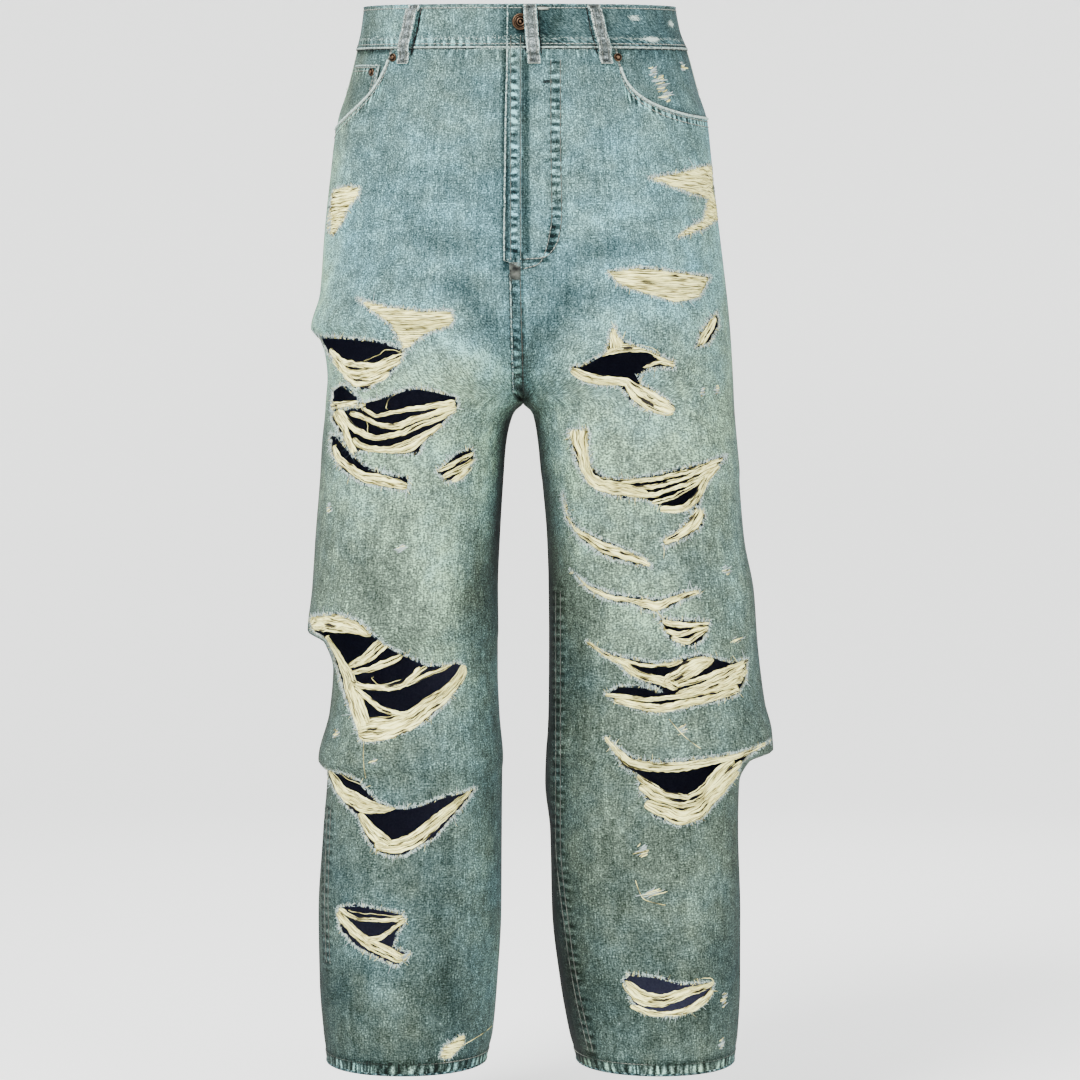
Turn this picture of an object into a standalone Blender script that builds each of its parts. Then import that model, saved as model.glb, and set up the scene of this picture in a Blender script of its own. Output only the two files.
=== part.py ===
"""Ripped wide-leg jeans, hollow as if worn, open at the waist and at both hems.

Metres, +Z up.  The wearer faces -Y, so the wearer's right leg is on -X.  The origin is the middle of
the waistband's loop at half its height, where a waist would hold the garment.

Every piece lies on one skin.  At each level the skin of a leg is a superellipse.  Above the fork the
two superellipses run into each other, and each is cut off at the centre plane, which gives the centre
seams and the crotch.  A place on the skin is (leg, face, across, level): across runs from 0 at the
centre seam or the inseam to 1 at the side seam, by length of cloth.
"""

import math

import bmesh
import bpy
import numpy as np

# Cloth and seams
WALL = 0.0018  # washed denim with its felled seams
GAP = 0.0003  # between neighbouring pieces
LAYER_GAP = 0.0005  # between a piece and what is sewn on it
PATCH_WALL = 0.0014  # pockets and facings
BAND_WALL = 0.0026  # the waistband is two cloths thick
BAND_PROUD = 0.0006  # how far the waistband stands out from the skin

# Levels: heights at the side seams
BAND_TOP = 0.0200
BAND_FOOT = -0.0200
TILT = 0.149  # the waist rises towards the back by this much a metre
TILT_END = -0.340  # the tilt has faded out here
FORK = -0.373
HEM = -1.028
FULL_WIDTH = -0.110  # below this level the rows of the panels are level

# Trunk, both legs alike.  merge: how far the two leg ovals have moved apart, 0 one oval, 1 two legs.
# front and back: half depths.  power: the superellipse's exponent.
TRUNK = np.array([
    # level   merge  front  back   power
    (0.030, 0.00, 0.1035, 0.1050, 2.40),
    (0.000, 0.00, 0.1050, 0.1080, 2.40),
    (-0.020, 0.00, 0.1080, 0.1130, 2.40),
    (-0.090, 0.01, 0.1180, 0.1300, 2.40),
    (-0.150, 0.06, 0.1240, 0.1410, 2.38),
    (-0.200, 0.15, 0.1280, 0.1450, 2.34),
    (-0.240, 0.28, 0.1305, 0.1435, 2.30),
    (-0.270, 0.42, 0.1320, 0.1410, 2.26),
    (-0.300, 0.57, 0.1325, 0.1380, 2.22),
    (-0.330, 0.75, 0.1320, 0.1350, 2.20),
    (-0.352, 0.88, 0.1315, 0.1330, 2.18),
    (-0.373, 1.00, 0.1310, 0.1320, 2.16),
    (-0.450, 1.00, 0.1300, 0.1280, 2.14),
    (-0.550, 1.00, 0.1250, 0.1200, 2.12),
    (-0.650, 1.00, 0.1160, 0.1120, 2.10),
    (-0.800, 1.00, 0.1070, 0.1060, 2.10),
    (-1.040, 1.00, 0.1000, 0.1000, 2.10),
])

# Legs.  outer: half width at the side seam.  inner: from the centre to the inseam, below the fork.
# billow: how far the middle of the front stands out.  Where the cloth is torn across, a flap hangs
# over the cloth below it, and outer and billow drop within a few millimetres.
LEGS = {
    "right": np.array([
        # level   outer  inner  billow
        (0.030, 0.1580, 0.0000, 0.000),
        (0.000, 0.1610, 0.0000, 0.000),
        (-0.020, 0.1655, 0.0000, 0.000),
        (-0.060, 0.1755, 0.0000, 0.000),
        (-0.090, 0.1850, 0.0000, 0.000),
        (-0.150, 0.1925, 0.0000, 0.000),
        (-0.210, 0.1985, 0.0000, 0.000),
        (-0.265, 0.2020, 0.0000, 0.002),
        (-0.300, 0.2100, 0.0000, 0.005),
        (-0.312, 0.2010, 0.0000, 0.001),
        (-0.350, 0.1950, 0.0000, 0.000),
        (-0.373, 0.1965, 0.0000, 0.001),
        (-0.382, 0.1970, 0.0090, 0.001),
        (-0.412, 0.2000, 0.0165, 0.001),
        (-0.450, 0.2025, 0.0195, 0.000),
        (-0.510, 0.2070, 0.0230, 0.001),
        (-0.560, 0.2095, 0.0250, 0.004),
        (-0.600, 0.2130, 0.0250, 0.007),
        (-0.612, 0.1985, 0.0250, 0.001),
        (-0.640, 0.1900, 0.0250, -0.002),
        (-0.680, 0.1930, 0.0235, 0.000),
        (-0.728, 0.2030, 0.0200, 0.005),
        (-0.740, 0.1955, 0.0205, 0.000),
        (-0.800, 0.1995, 0.0210, 0.000),
        (-0.880, 0.2040, 0.0215, 0.001),
        (-0.950, 0.2030, 0.0255, 0.000),
        (-1.000, 0.1990, 0.0300, 0.000),
        (-1.040, 0.1940, 0.0390, 0.000),
    ]),
    "left": np.array([
        # level   outer  inner  billow
        (0.030, 0.1515, 0.0000, 0.000),
        (0.000, 0.1560, 0.0000, 0.000),
        (-0.020, 0.1635, 0.0000, 0.000),
        (-0.060, 0.1745, 0.0000, 0.000),
        (-0.090, 0.1840, 0.0000, 0.000),
        (-0.150, 0.1895, 0.0000, 0.000),
        (-0.210, 0.1970, 0.0000, 0.000),
        (-0.300, 0.2065, 0.0000, 0.001),
        (-0.350, 0.2095, 0.0000, 0.001),
        (-0.373, 0.2105, 0.0000, 0.001),
        (-0.382, 0.2110, 0.0090, 0.001),
        (-0.412, 0.2130, 0.0150, 0.003),
        (-0.440, 0.2150, 0.0180, 0.005),
        (-0.455, 0.2160, 0.0195, 0.001),
        (-0.510, 0.2210, 0.0240, 0.000),
        (-0.560, 0.2300, 0.0255, 0.002),
        (-0.610, 0.2335, 0.0260, 0.003),
        (-0.670, 0.2410, 0.0255, 0.002),
        (-0.700, 0.2475, 0.0250, 0.006),
        (-0.718, 0.2480, 0.0240, 0.009),
        (-0.730, 0.2270, 0.0225, 0.000),
        (-0.752, 0.2165, 0.0220, -0.003),
        (-0.800, 0.2150, 0.0270, 0.000),
        (-0.880, 0.2170, 0.0290, 0.001),
        (-0.950, 0.2170, 0.0370, 0.000),
        (-1.000, 0.2145, 0.0460, 0.000),
        (-1.040, 0.2090, 0.0560, 0.000),
    ]),
}
SIDE = {"right": -1.0, "left": 1.0}
BILLOW_POWER = 0.8  # under 1, a billow stays full nearly to the seams

# Rows of the panels below FULL_WIDTH, closer where the shape turns quickly
ROWS = {
    "right": (-0.110, -0.150, -0.190, -0.230, -0.265, -0.300, -0.312, -0.338, -0.358, -0.373,
              -0.382, -0.400, -0.440, -0.490, -0.550, -0.600, -0.612, -0.640, -0.685, -0.728,
              -0.740, -0.800, -0.880, -0.960, HEM),
    "left": (-0.110, -0.150, -0.190, -0.230, -0.265, -0.300, -0.338, -0.358, -0.373, -0.382,
             -0.400, -0.440, -0.455, -0.510, -0.560, -0.620, -0.680, -0.718, -0.730, -0.752,
             -0.800, -0.880, -0.960, HEM),
}

# Pocket mouths: where the curve leaves the waistband, its level at the side seam, and the exponent
# of its quarter oval
MOUTH_START = {"right": 0.595, "left": 0.415}
MOUTH_FOOT = {"right": -0.100, "left": -0.089}
MOUTH_POWER = {"right": 2.0, "left": 3.0}
MOUTH_HIDDEN = 0.012  # how far the facing runs on under the front
FACING_AHEAD = 0.11  # how far across the facing starts before the mouth does

# Fly placket: its edge, as across on the right front, and its slanting foot
PLACKET_EDGE = 0.066  # across, on the right front
PLACKET_FOOT = -0.246
PLACKET_SLANT = 0.008

# Columns of the front panels; the right one has the edge of the fly placket
FRONT_COLUMNS = {
    "right": (0.00, PLACKET_EDGE, 0.18, 0.29, 0.40, 0.50, 0.595, 0.615, 0.655, 0.72, 0.81, 0.90, 1.00),
    "left": (0.00, 0.11, 0.22, 0.32, 0.415, 0.435, 0.49, 0.56, 0.66, 0.77, 0.88, 1.00),
}
BACK_COLUMNS = (0.00, 0.16, 0.30, 0.45, 0.60, 0.74, 0.88, 1.00)

# Waistband, in quarters of its length from the centre front round the wearer's right side.  Its under
# end turns inwards from the first place on, and is behind the over end from the second
BAND_STEP_START = 0.220
BAND_STEP_FULL = 0.085
BAND_UNDER_END = -0.100
BAND_OVER_END = 4.066
BAND_EVEN = (0.32, 3.92, 37)  # first, last and number of the evenly spaced places between the ends

# Yoke: its lower seam at the side and at the centre back
YOKE_SIDE = -0.060
YOKE_CENTRE = -0.095

# Patches: first and last column, then top, side foot and middle foot levels
BACK_POCKET = {"first": 1, "last": 5, "top": -0.118, "side_foot": -0.250, "middle_foot": -0.272}
COIN_POCKET = {"first": 0.655, "last": 0.90, "top": -0.036}

# Belt loops: where each crosses the waistband, as (leg, face, across at the top, across at the foot)
BELT_LOOPS = (
    ("right", "front", 0.495, 0.520),
    ("left", "front", 0.033, 0.050),
    ("left", "front", 0.328, 0.360),
    ("right", "back", 0.430, 0.430),
    ("right", "back", 0.000, 0.000),
    ("left", "back", 0.430, 0.430),
)
LOOP_WIDTH = 0.012
LOOP_WALL = 0.0020
LOOP_AHEAD = 0.02  # how far across the direction along the waistband is read
LOOP_ROOM = 0.0070  # room for a belt
LOOP_TOP = 0.0190
LOOP_FOOT = -0.0350
LOOP_PATH = np.array([
    # level    height of its inner face over the skin
    (LOOP_TOP, BAND_PROUD + 0.0008),
    (LOOP_TOP - 0.0030, BAND_PROUD + 0.0008),
    (LOOP_TOP - 0.0055, LOOP_ROOM - 0.0010),
    (0.0000, LOOP_ROOM),
    (-0.0140, LOOP_ROOM),
    (LOOP_FOOT + 0.0120, LOOP_ROOM - 0.0020),
    (LOOP_FOOT + 0.0080, 0.0008),
    (LOOP_FOOT, 0.0008),
])

# Metal trims
BUTTON_RADIUS = 0.0082
BUTTON_HEIGHT = 0.0038
BUTTON_ACROSS = 0.006
BUTTON_LEVEL = 0.0048
RIVET_RADIUS = 0.0040
RIVET_HEIGHT = 0.0018
# leg, across, level, and how far under the skin its cloth lies
RIVETS = (
    ("right", 0.574, -0.0290, 0.0),
    ("left", 0.413, -0.0290, 0.0),
    ("right", 0.694, -0.0430, WALL + LAYER_GAP),
)

# Holes where the threads of the rips have gone.  Each is a lens between two tips; upper and lower
# are how far its two edges bow up from the straight line between the tips, and lean is where.
RIPS = {
    "right": (
        # tip (x, z)      other tip (x, z)  upper   lower   lean
        ((-0.190, -0.322), (-0.117, -0.327), 0.009, -0.011, 0.45),
        ((-0.155, -0.380), (-0.063, -0.374), 0.011, -0.007, 0.50),
        ((-0.151, -0.413), (-0.077, -0.397), -0.003, -0.015, 0.45),
        ((-0.188, -0.607), (-0.146, -0.613), 0.006, -0.016, 0.50),
        ((-0.144, -0.645), (-0.111, -0.631), 0.004, -0.006, 0.50),
        ((-0.145, -0.664), (-0.065, -0.637), 0.002, -0.023, 0.42),
        ((-0.145, -0.779), (-0.069, -0.761), 0.001, -0.016, 0.42),
        ((-0.170, -0.874), (-0.118, -0.874), 0.004, -0.019, 0.50),
    ),
    "left": (
        ((0.050, -0.344), (0.131, -0.335), 0.008, -0.012, 0.50),
        ((0.124, -0.477), (0.171, -0.453), 0.003, -0.004, 0.50),
        ((0.173, -0.655), (0.211, -0.632), 0.004, -0.004, 0.50),
        ((0.113, -0.733), (0.192, -0.728), -0.002, -0.023, 0.60),
        ((0.103, -0.932), (0.165, -0.943), 0.003, -0.007, 0.50),
    ),
}
LENS_STEPS = 6
CUTTER_FRONT = -0.30
CUTTER_BACK = -0.01


def monotone(at, places, values):
    """A smooth curve through (places, values) that never overshoots.

    Between two rows it is a cubic.  Its slope at a row is the harmonic mean of the two slopes beside
    it, and zero where these have unlike signs, so steps in the table stay steps.
    """
    order = np.argsort(places)
    places = places[order]
    values = values[order]
    run = np.diff(places)
    rise = np.diff(values) / run
    slope = np.zeros_like(values)
    product = rise[:-1] * rise[1:]
    total = np.where(product > 0, rise[:-1] + rise[1:], 1.0)
    slope[1:-1] = np.where(product > 0, 2 * product / total, 0.0)
    k = np.clip(np.searchsorted(places, at) - 1, 0, len(run) - 1)
    t = (at - places[k]) / run[k]
    start = (1 + 2 * t) * (1 - t) ** 2 * values[k]
    end = t ** 2 * (3 - 2 * t) * values[k + 1]
    bend = run[k] * t * (1 - t) * ((1 - t) * slope[k] - t * slope[k + 1])
    return start + end + bend


def tilt(level):
    """How far the skin rises per metre towards the back: full at the waist, none above the fork."""
    t = np.clip((level - TILT_END) / (BAND_FOOT - TILT_END), 0.0, 1.0)
    return TILT * t * t * (3 - 2 * t)


def oval(leg, level):
    """Centre, half width, half depths and exponent of a leg's superellipse at these levels.

    Above the fork the centre is merge times the half width, so that centre plus half width is the
    outer width.  Below it they follow from the outer and inner widths.
    """
    merge = monotone(level, TRUNK[:, 0], TRUNK[:, 1])
    front = monotone(level, TRUNK[:, 0], TRUNK[:, 2])
    back = monotone(level, TRUNK[:, 0], TRUNK[:, 3])
    power = monotone(level, TRUNK[:, 0], TRUNK[:, 4])
    table = LEGS[leg]
    outer = monotone(level, table[:, 0], table[:, 1])
    inner = monotone(level, table[:, 0], table[:, 2])
    inner = np.where(level > FORK, -outer * (1 - merge) / (1 + merge), inner)
    return (outer + inner) / 2, (outer - inner) / 2, front, back, power


def skin(leg, face, across, level, out=0.0):
    """Points of the skin, moved outwards by out.

    The oval is walked from its inner edge to the side seam in small steps of its angle, and the angle
    is read back at the wanted share of the walked length.
    """
    across, level = np.broadcast_arrays(np.asarray(across, float), np.asarray(level, float))
    centre, wide, front, back, power = oval(leg, level)
    deep = front if face == "front" else back
    share = np.clip(centre / wide, 0.0, 1.0)
    first = np.where(level > FORK, np.arccos(-share ** (power / 2)), math.pi)
    steps = np.linspace(0.0, 1.0, 97)
    angle = first[..., None] * (1 - steps)
    root = (2 / power)[..., None]
    x = wide[..., None] * np.sign(np.cos(angle)) * np.abs(np.cos(angle)) ** root
    y = deep[..., None] * np.abs(np.sin(angle)) ** root
    walked = np.cumsum(np.hypot(np.diff(x), np.diff(y)), axis=-1)
    walked = np.concatenate([np.zeros_like(walked[..., :1]), walked], axis=-1)
    walked = walked / walked[..., -1:]
    k = np.clip((walked < across[..., None]).sum(-1) - 1, 0, len(steps) - 2)[..., None]
    low = np.take_along_axis(walked, k, -1)[..., 0]
    high = np.take_along_axis(walked, k + 1, -1)[..., 0]
    at = steps[k[..., 0]] + (across - low) / (high - low) * steps[1]
    angle = first * (1 - np.clip(at, 0.0, 1.0))
    cosine = np.cos(angle)
    sine = np.abs(np.sin(angle))
    toward = SIDE[leg]
    facing = -1.0 if face == "front" else 1.0
    x = toward * (centre + wide * np.sign(cosine) * np.abs(cosine) ** (2 / power))
    y = facing * deep * sine ** (2 / power)
    normal_x = toward * np.sign(cosine) * np.abs(cosine) ** (2 - 2 / power) / wide
    normal_y = facing * sine ** (2 - 2 / power) / deep
    length = np.hypot(normal_x, normal_y)
    if face == "front":
        table = LEGS[leg]
        out = out + monotone(level, table[:, 0], table[:, 3]) * np.sin(math.pi * across) ** BILLOW_POWER
    x = x + out * normal_x / length
    y = y + out * normal_y / length
    return np.stack([x, y, level + tilt(level) * y], axis=-1)


def trim_to_quarter(points, leg, face):
    """Keep a panel half a gap inside its own quarter, so that neighbours at a seam stay apart."""
    points[..., 0] = SIDE[leg] * np.maximum(points[..., 0] * SIDE[leg], GAP / 2)
    facing = -1.0 if face == "front" else 1.0
    points[..., 1] = facing * np.maximum(points[..., 1] * facing, GAP / 2)
    return points


def new_collection(name):
    collection = bpy.data.collections.new(name)
    bpy.context.scene.collection.children.link(collection)
    return collection


def new_material(name, colour, roughness, metallic=0.0):
    material = bpy.data.materials.new(name)
    material.use_nodes = True
    shader = material.node_tree.nodes["Principled BSDF"]
    shader.inputs["Base Color"].default_value = (*colour, 1.0)
    shader.inputs["Roughness"].default_value = roughness
    shader.inputs["Metallic"].default_value = metallic
    return material


def add_object(name, mesh, material, collection):
    thing = bpy.data.objects.new(name, mesh)
    mesh.materials.append(material)
    collection.objects.link(thing)
    return thing


def wall(name, outer, inner, material, collection):
    """The closed solid between two matching grids of points, with its rim square to the cloth.

    Solidify would lean the rims into the neighbouring panels at the seams, so both faces are given.
    """
    rows, columns = outer.shape[:2]
    index = np.arange(rows * columns).reshape(rows, columns)
    a = index[:-1, :-1].ravel()
    b = index[:-1, 1:].ravel()
    c = index[1:, 1:].ravel()
    d = index[1:, :-1].ravel()
    face = np.concatenate([np.stack([a, b, c], 1), np.stack([a, c, d], 1)])
    under = face[:, ::-1] + rows * columns
    rim = np.concatenate([index[0], index[1:, -1], index[-1, -2::-1], index[-2:0:-1, 0]])
    after = np.roll(rim, -1)
    lid = rows * columns
    edge = np.concatenate([
        np.stack([after, rim, rim + lid], 1),
        np.stack([after, rim + lid, after + lid], 1),
    ])
    points = np.concatenate([outer.reshape(-1, 3), inner.reshape(-1, 3)])
    mesh = bpy.data.meshes.new(name)
    mesh.from_pydata(points.tolist(), [], np.concatenate([face, under, edge]).tolist())
    form = bmesh.new()
    form.from_mesh(mesh)
    bmesh.ops.recalc_face_normals(form, faces=form.faces)
    form.to_mesh(mesh)
    form.free()
    return add_object(name, mesh, material, collection)


def patch(name, leg, face, across, level, out, thick, material, collection):
    """A piece of cloth over a grid of places of the skin; out is the height of its outer face."""
    outer = trim_to_quarter(skin(leg, face, across, level, out), leg, face)
    inner = trim_to_quarter(skin(leg, face, across, level, out - thick), leg, face)
    return wall(name, outer, inner, material, collection)


def mouth_level(leg, across):
    """Lower edge of the pocket opening: a quarter of an oval from the waistband to the side seam."""
    t = np.clip((across - MOUTH_START[leg]) / (1 - MOUTH_START[leg]), 0.0, 1.0)
    power = MOUTH_POWER[leg]
    drop = (1 - (1 - t) ** power) ** (1 / power)
    top = BAND_FOOT - GAP
    return top + (MOUTH_FOOT[leg] - top) * drop


def panel_grid(leg, columns, top, bands):
    """Places of a panel: its rows start at the curved top edge and are level from FULL_WIDTH down."""
    across = np.asarray(columns)
    t = np.linspace(0.0, 1.0, bands + 1)[:-1, None]
    upper = top[None, :] * (1 - t) + FULL_WIDTH * t
    lower = np.repeat(np.asarray(ROWS[leg])[:, None], len(across), axis=1)
    level = np.concatenate([upper, lower])
    return np.broadcast_to(across, level.shape), level


def lens(tip, other, upper, lower, lean):
    """Outline of a hole: from tip to tip along its upper edge, and back along its lower edge."""
    t = np.linspace(0.0, 1.0, LENS_STEPS)
    bow = np.sin(math.pi * t ** (math.log(0.5) / math.log(lean)))
    x = tip[0] + (other[0] - tip[0]) * t
    z = tip[1] + (other[1] - tip[1]) * t
    top = np.stack([x, z + upper * bow], 1)
    foot = np.stack([x, z + lower * bow], 1)
    return np.concatenate([top, foot[-2:0:-1]])


def rip_cutter(leg, collection):
    """All the holes of one front leg as upright prisms that pass through its cloth from the front."""
    form = bmesh.new()
    for tip, other, upper, lower, lean in RIPS[leg]:
        outline = lens(tip, other, upper, lower, lean)
        face = form.faces.new([form.verts.new((x, CUTTER_FRONT, z)) for x, z in outline])
        made = bmesh.ops.extrude_face_region(form, geom=[face])
        moved = [item for item in made["geom"] if isinstance(item, bmesh.types.BMVert)]
        bmesh.ops.translate(form, verts=moved, vec=(0.0, CUTTER_BACK - CUTTER_FRONT, 0.0))
    bmesh.ops.recalc_face_normals(form, faces=form.faces)
    mesh = bpy.data.meshes.new("rip_cutter_" + leg)
    form.to_mesh(mesh)
    form.free()
    cutter = bpy.data.objects.new(mesh.name, mesh)
    cutter.hide_render = True
    cutter.display_type = "WIRE"
    collection.objects.link(cutter)
    return cutter


def build_front(leg, material, parts, cutters):
    columns = np.array(FRONT_COLUMNS[leg])
    across, level = panel_grid(leg, columns, mouth_level(leg, columns), 3)
    front = patch("front_" + leg, leg, "front", across, level, 0.0, WALL, material, parts)
    if RIPS[leg]:
        cut = front.modifiers.new("rips", "BOOLEAN")
        cut.operation = "DIFFERENCE"
        cut.object = rip_cutter(leg, cutters)


def build_back(leg, material, parts):
    """Yoke and back leg, which share the slanting yoke seam."""
    columns = np.array(BACK_COLUMNS)
    seam = YOKE_CENTRE + (YOKE_SIDE - YOKE_CENTRE) * columns
    t = np.linspace(0.0, 1.0, 3)[:, None]
    level = (BAND_FOOT - GAP) * (1 - t) + seam[None, :] * t
    across = np.broadcast_to(columns, level.shape)
    patch("yoke_" + leg, leg, "back", across, level, 0.0, WALL, material, parts)
    across, level = panel_grid(leg, columns, seam - GAP, 1)
    patch("back_" + leg, leg, "back", across, level, 0.0, WALL, material, parts)


def build_facing(leg, depth, material, parts):
    """The hip piece behind the pocket mouth, from the waistband to just below the mouth's edge."""
    start = MOUTH_START[leg]
    columns = np.array([c for c in FRONT_COLUMNS[leg] if c >= start - FACING_AHEAD])
    foot = np.minimum(mouth_level(leg, columns), BAND_FOOT - 0.02) - MOUTH_HIDDEN
    t = np.linspace(0.0, 1.0, 4)[:, None]
    level = (BAND_FOOT - GAP) * (1 - t) + foot[None, :] * t
    across = np.broadcast_to(columns, level.shape)
    patch("pocket_facing_" + leg, leg, "front", across, level, -depth, PATCH_WALL, material, parts)


def build_coin_pocket(material, parts):
    """A small patch on the right facing; its foot runs on under the front."""
    inside = [COIN_POCKET["first"] <= c <= COIN_POCKET["last"] for c in FRONT_COLUMNS["right"]]
    columns = np.array(FRONT_COLUMNS["right"])[inside]
    foot = mouth_level("right", columns) - MOUTH_HIDDEN
    t = np.linspace(0.0, 1.0, 4)[:, None]
    level = COIN_POCKET["top"] * (1 - t) + foot[None, :] * t
    across = np.broadcast_to(columns, level.shape)
    depth = WALL + LAYER_GAP
    patch("coin_pocket", "right", "front", across, level, -depth, PATCH_WALL, material, parts)


def build_back_pocket(leg, material, parts):
    """A plain five-sided patch pocket on the seat, on the back panel's own columns and rows."""
    columns = np.array(BACK_COLUMNS[BACK_POCKET["first"]:BACK_POCKET["last"] + 1])
    middle = (columns[0] + columns[-1]) / 2
    side = np.abs(columns - middle) / (columns[-1] - middle)
    foot = BACK_POCKET["middle_foot"] + (BACK_POCKET["side_foot"] - BACK_POCKET["middle_foot"]) * side
    rows = [np.full_like(columns, BACK_POCKET["top"])]
    rows += [np.full_like(columns, row) for row in ROWS[leg] if foot.max() + 0.01 < row < rows[0][0]]
    level = np.stack(rows + [foot])
    across = np.broadcast_to(columns, level.shape)
    out = LAYER_GAP + PATCH_WALL
    patch("back_pocket_" + leg, leg, "back", across, level, out, PATCH_WALL, material, parts)


def build_placket(material, parts):
    """The raised edge of the button fly, on the right front's first columns, with a slanting foot."""
    columns = np.array([0.0, PLACKET_EDGE / 2, PLACKET_EDGE])
    rows = [BAND_FOOT - GAP, FULL_WIDTH]
    rows += [row for row in ROWS["right"] if PLACKET_FOOT < row < FULL_WIDTH]
    level = np.repeat(np.array(rows + [PLACKET_FOOT])[:, None], len(columns), axis=1)
    level[-1] += PLACKET_SLANT * columns / PLACKET_EDGE
    level = np.insert(level, 1, [level[0] + (level[1] - level[0]) * t for t in (1 / 3, 2 / 3)], axis=0)
    across = np.broadcast_to(columns, level.shape)
    out = LAYER_GAP + PATCH_WALL
    patch("fly_placket", "right", "front", across, level, out, PATCH_WALL, material, parts)


def band_place(turn):
    """Leg, face and across for a place along the waistband, counted in quarters from the centre front
    round the wearer's right side.  Under 0 and over 4 it has passed the centre front again."""
    if turn < 0:
        return "left", "front", -turn
    if turn < 1:
        return "right", "front", turn
    if turn < 2:
        return "right", "back", 2 - turn
    if turn < 3:
        return "left", "back", turn - 2
    if turn < 4:
        return "left", "front", 4 - turn
    return "right", "front", turn - 4


def build_waistband(material, parts):
    """One strip round the waist.  Its wearer's left end lies over its right end at the front."""
    lap = [BAND_UNDER_END, 0.0, BAND_STEP_FULL, BAND_STEP_START]
    turns = np.concatenate([lap, np.linspace(*BAND_EVEN), [4.0, BAND_OVER_END]])
    levels = np.array([BAND_TOP, 0.0, BAND_FOOT])
    inward = BAND_WALL + LAYER_GAP
    outer = []
    inner = []
    for turn in turns:
        leg, face, across = band_place(turn)
        step = inward * np.clip((BAND_STEP_START - turn) / (BAND_STEP_START - BAND_STEP_FULL), 0.0, 1.0)
        outer.append(skin(leg, face, across, levels, BAND_PROUD - step))
        inner.append(skin(leg, face, across, levels, BAND_PROUD - step - BAND_WALL))
    wall("waistband", np.stack(outer, axis=1), np.stack(inner, axis=1), material, parts)


def build_belt_loop(number, place, material, parts):
    """A narrow strip, sewn down at both ends, that arches over the waistband with room for a belt."""
    leg, face, top, foot = place
    levels = LOOP_PATH[:, 0]
    height = LOOP_PATH[:, 1]
    share = (LOOP_TOP - levels) / (LOOP_TOP - LOOP_FOOT)
    across = top + (foot - top) * share
    centre = np.stack([skin(leg, face, a, h) for a, h in zip(across, levels)])
    ahead = np.stack([skin(leg, face, a + LOOP_AHEAD, h) for a, h in zip(across, levels)])
    along = ahead - centre
    if top == 0.0:
        along = np.tile([SIDE[leg], 0.0, 0.0], (len(levels), 1))
    along /= np.linalg.norm(along, axis=1)[:, None]
    up = np.array([0.0, 0.0, 1.0])
    normal = np.cross(along, up)
    facing = -1.0 if face == "front" else 1.0
    normal *= (np.sign(normal[:, 1]) * facing / np.linalg.norm(normal, axis=1))[:, None]
    sides = np.array([-0.5, 0.0, 0.5]) * LOOP_WIDTH
    base = centre[:, None, :] + along[:, None, :] * sides[None, :, None]
    outer = base + normal[:, None, :] * (height + LOOP_WALL)[:, None, None]
    inner = base + normal[:, None, :] * height[:, None, None]
    wall(f"belt_loop_{number}", outer, inner, material, parts)


def turned(name, profile, location, direction, material, parts, sides=16):
    """A turned piece: its profile of (radius, height) is spun about Z, then faces along direction."""
    mesh = bpy.data.meshes.new(name)
    edges = [(i, i + 1) for i in range(len(profile) - 1)]
    mesh.from_pydata([(radius, 0.0, height) for radius, height in profile], edges, [])
    piece = add_object(name, mesh, material, parts)
    spin = piece.modifiers.new("spin", "SCREW")
    spin.steps = sides
    spin.render_steps = sides
    spin.use_merge_vertices = True
    spin.merge_threshold = 0.00005
    piece.location = location
    flat = math.hypot(direction[0], direction[1])
    piece.rotation_euler = (0.0, math.atan2(flat, direction[2]), math.atan2(direction[1], direction[0]))
    return piece


def seat(leg, face, across, level, out):
    """A place on the skin and the level way out of it, for a piece of hardware."""
    here = skin(leg, face, across, level, out)
    way = skin(leg, face, across, level, out + 0.01) - here
    way[2] = 0.0
    return here, way / np.linalg.norm(way)


def build_trims(copper, parts):
    radius = BUTTON_RADIUS
    height = BUTTON_HEIGHT
    button = [(0.0, height - 0.0008), (radius * 0.55, height - 0.0008), (radius * 0.75, height),
              (radius * 0.95, height - 0.0006), (radius, height - 0.0018), (radius * 0.8, height - 0.0026),
              (radius * 0.45, 0.0), (0.0, 0.0)]
    place, way = seat("right", "front", BUTTON_ACROSS, BUTTON_LEVEL, BAND_PROUD + LAYER_GAP)
    turned("button", button, place, way, copper, parts, 20)
    radius = RIVET_RADIUS
    height = RIVET_HEIGHT
    rivet = [(0.0, height), (radius * 0.45, height * 0.9), (radius * 0.6, height * 0.55),
             (radius * 0.9, height * 0.5), (radius, 0.0), (0.0, 0.0)]
    for number, (leg, across, level, under) in enumerate(RIVETS, start=1):
        place, way = seat(leg, "front", across, level, LAYER_GAP + GAP - under)
        turned(f"rivet_{number}", rivet, place, way, copper, parts, 12)


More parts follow.
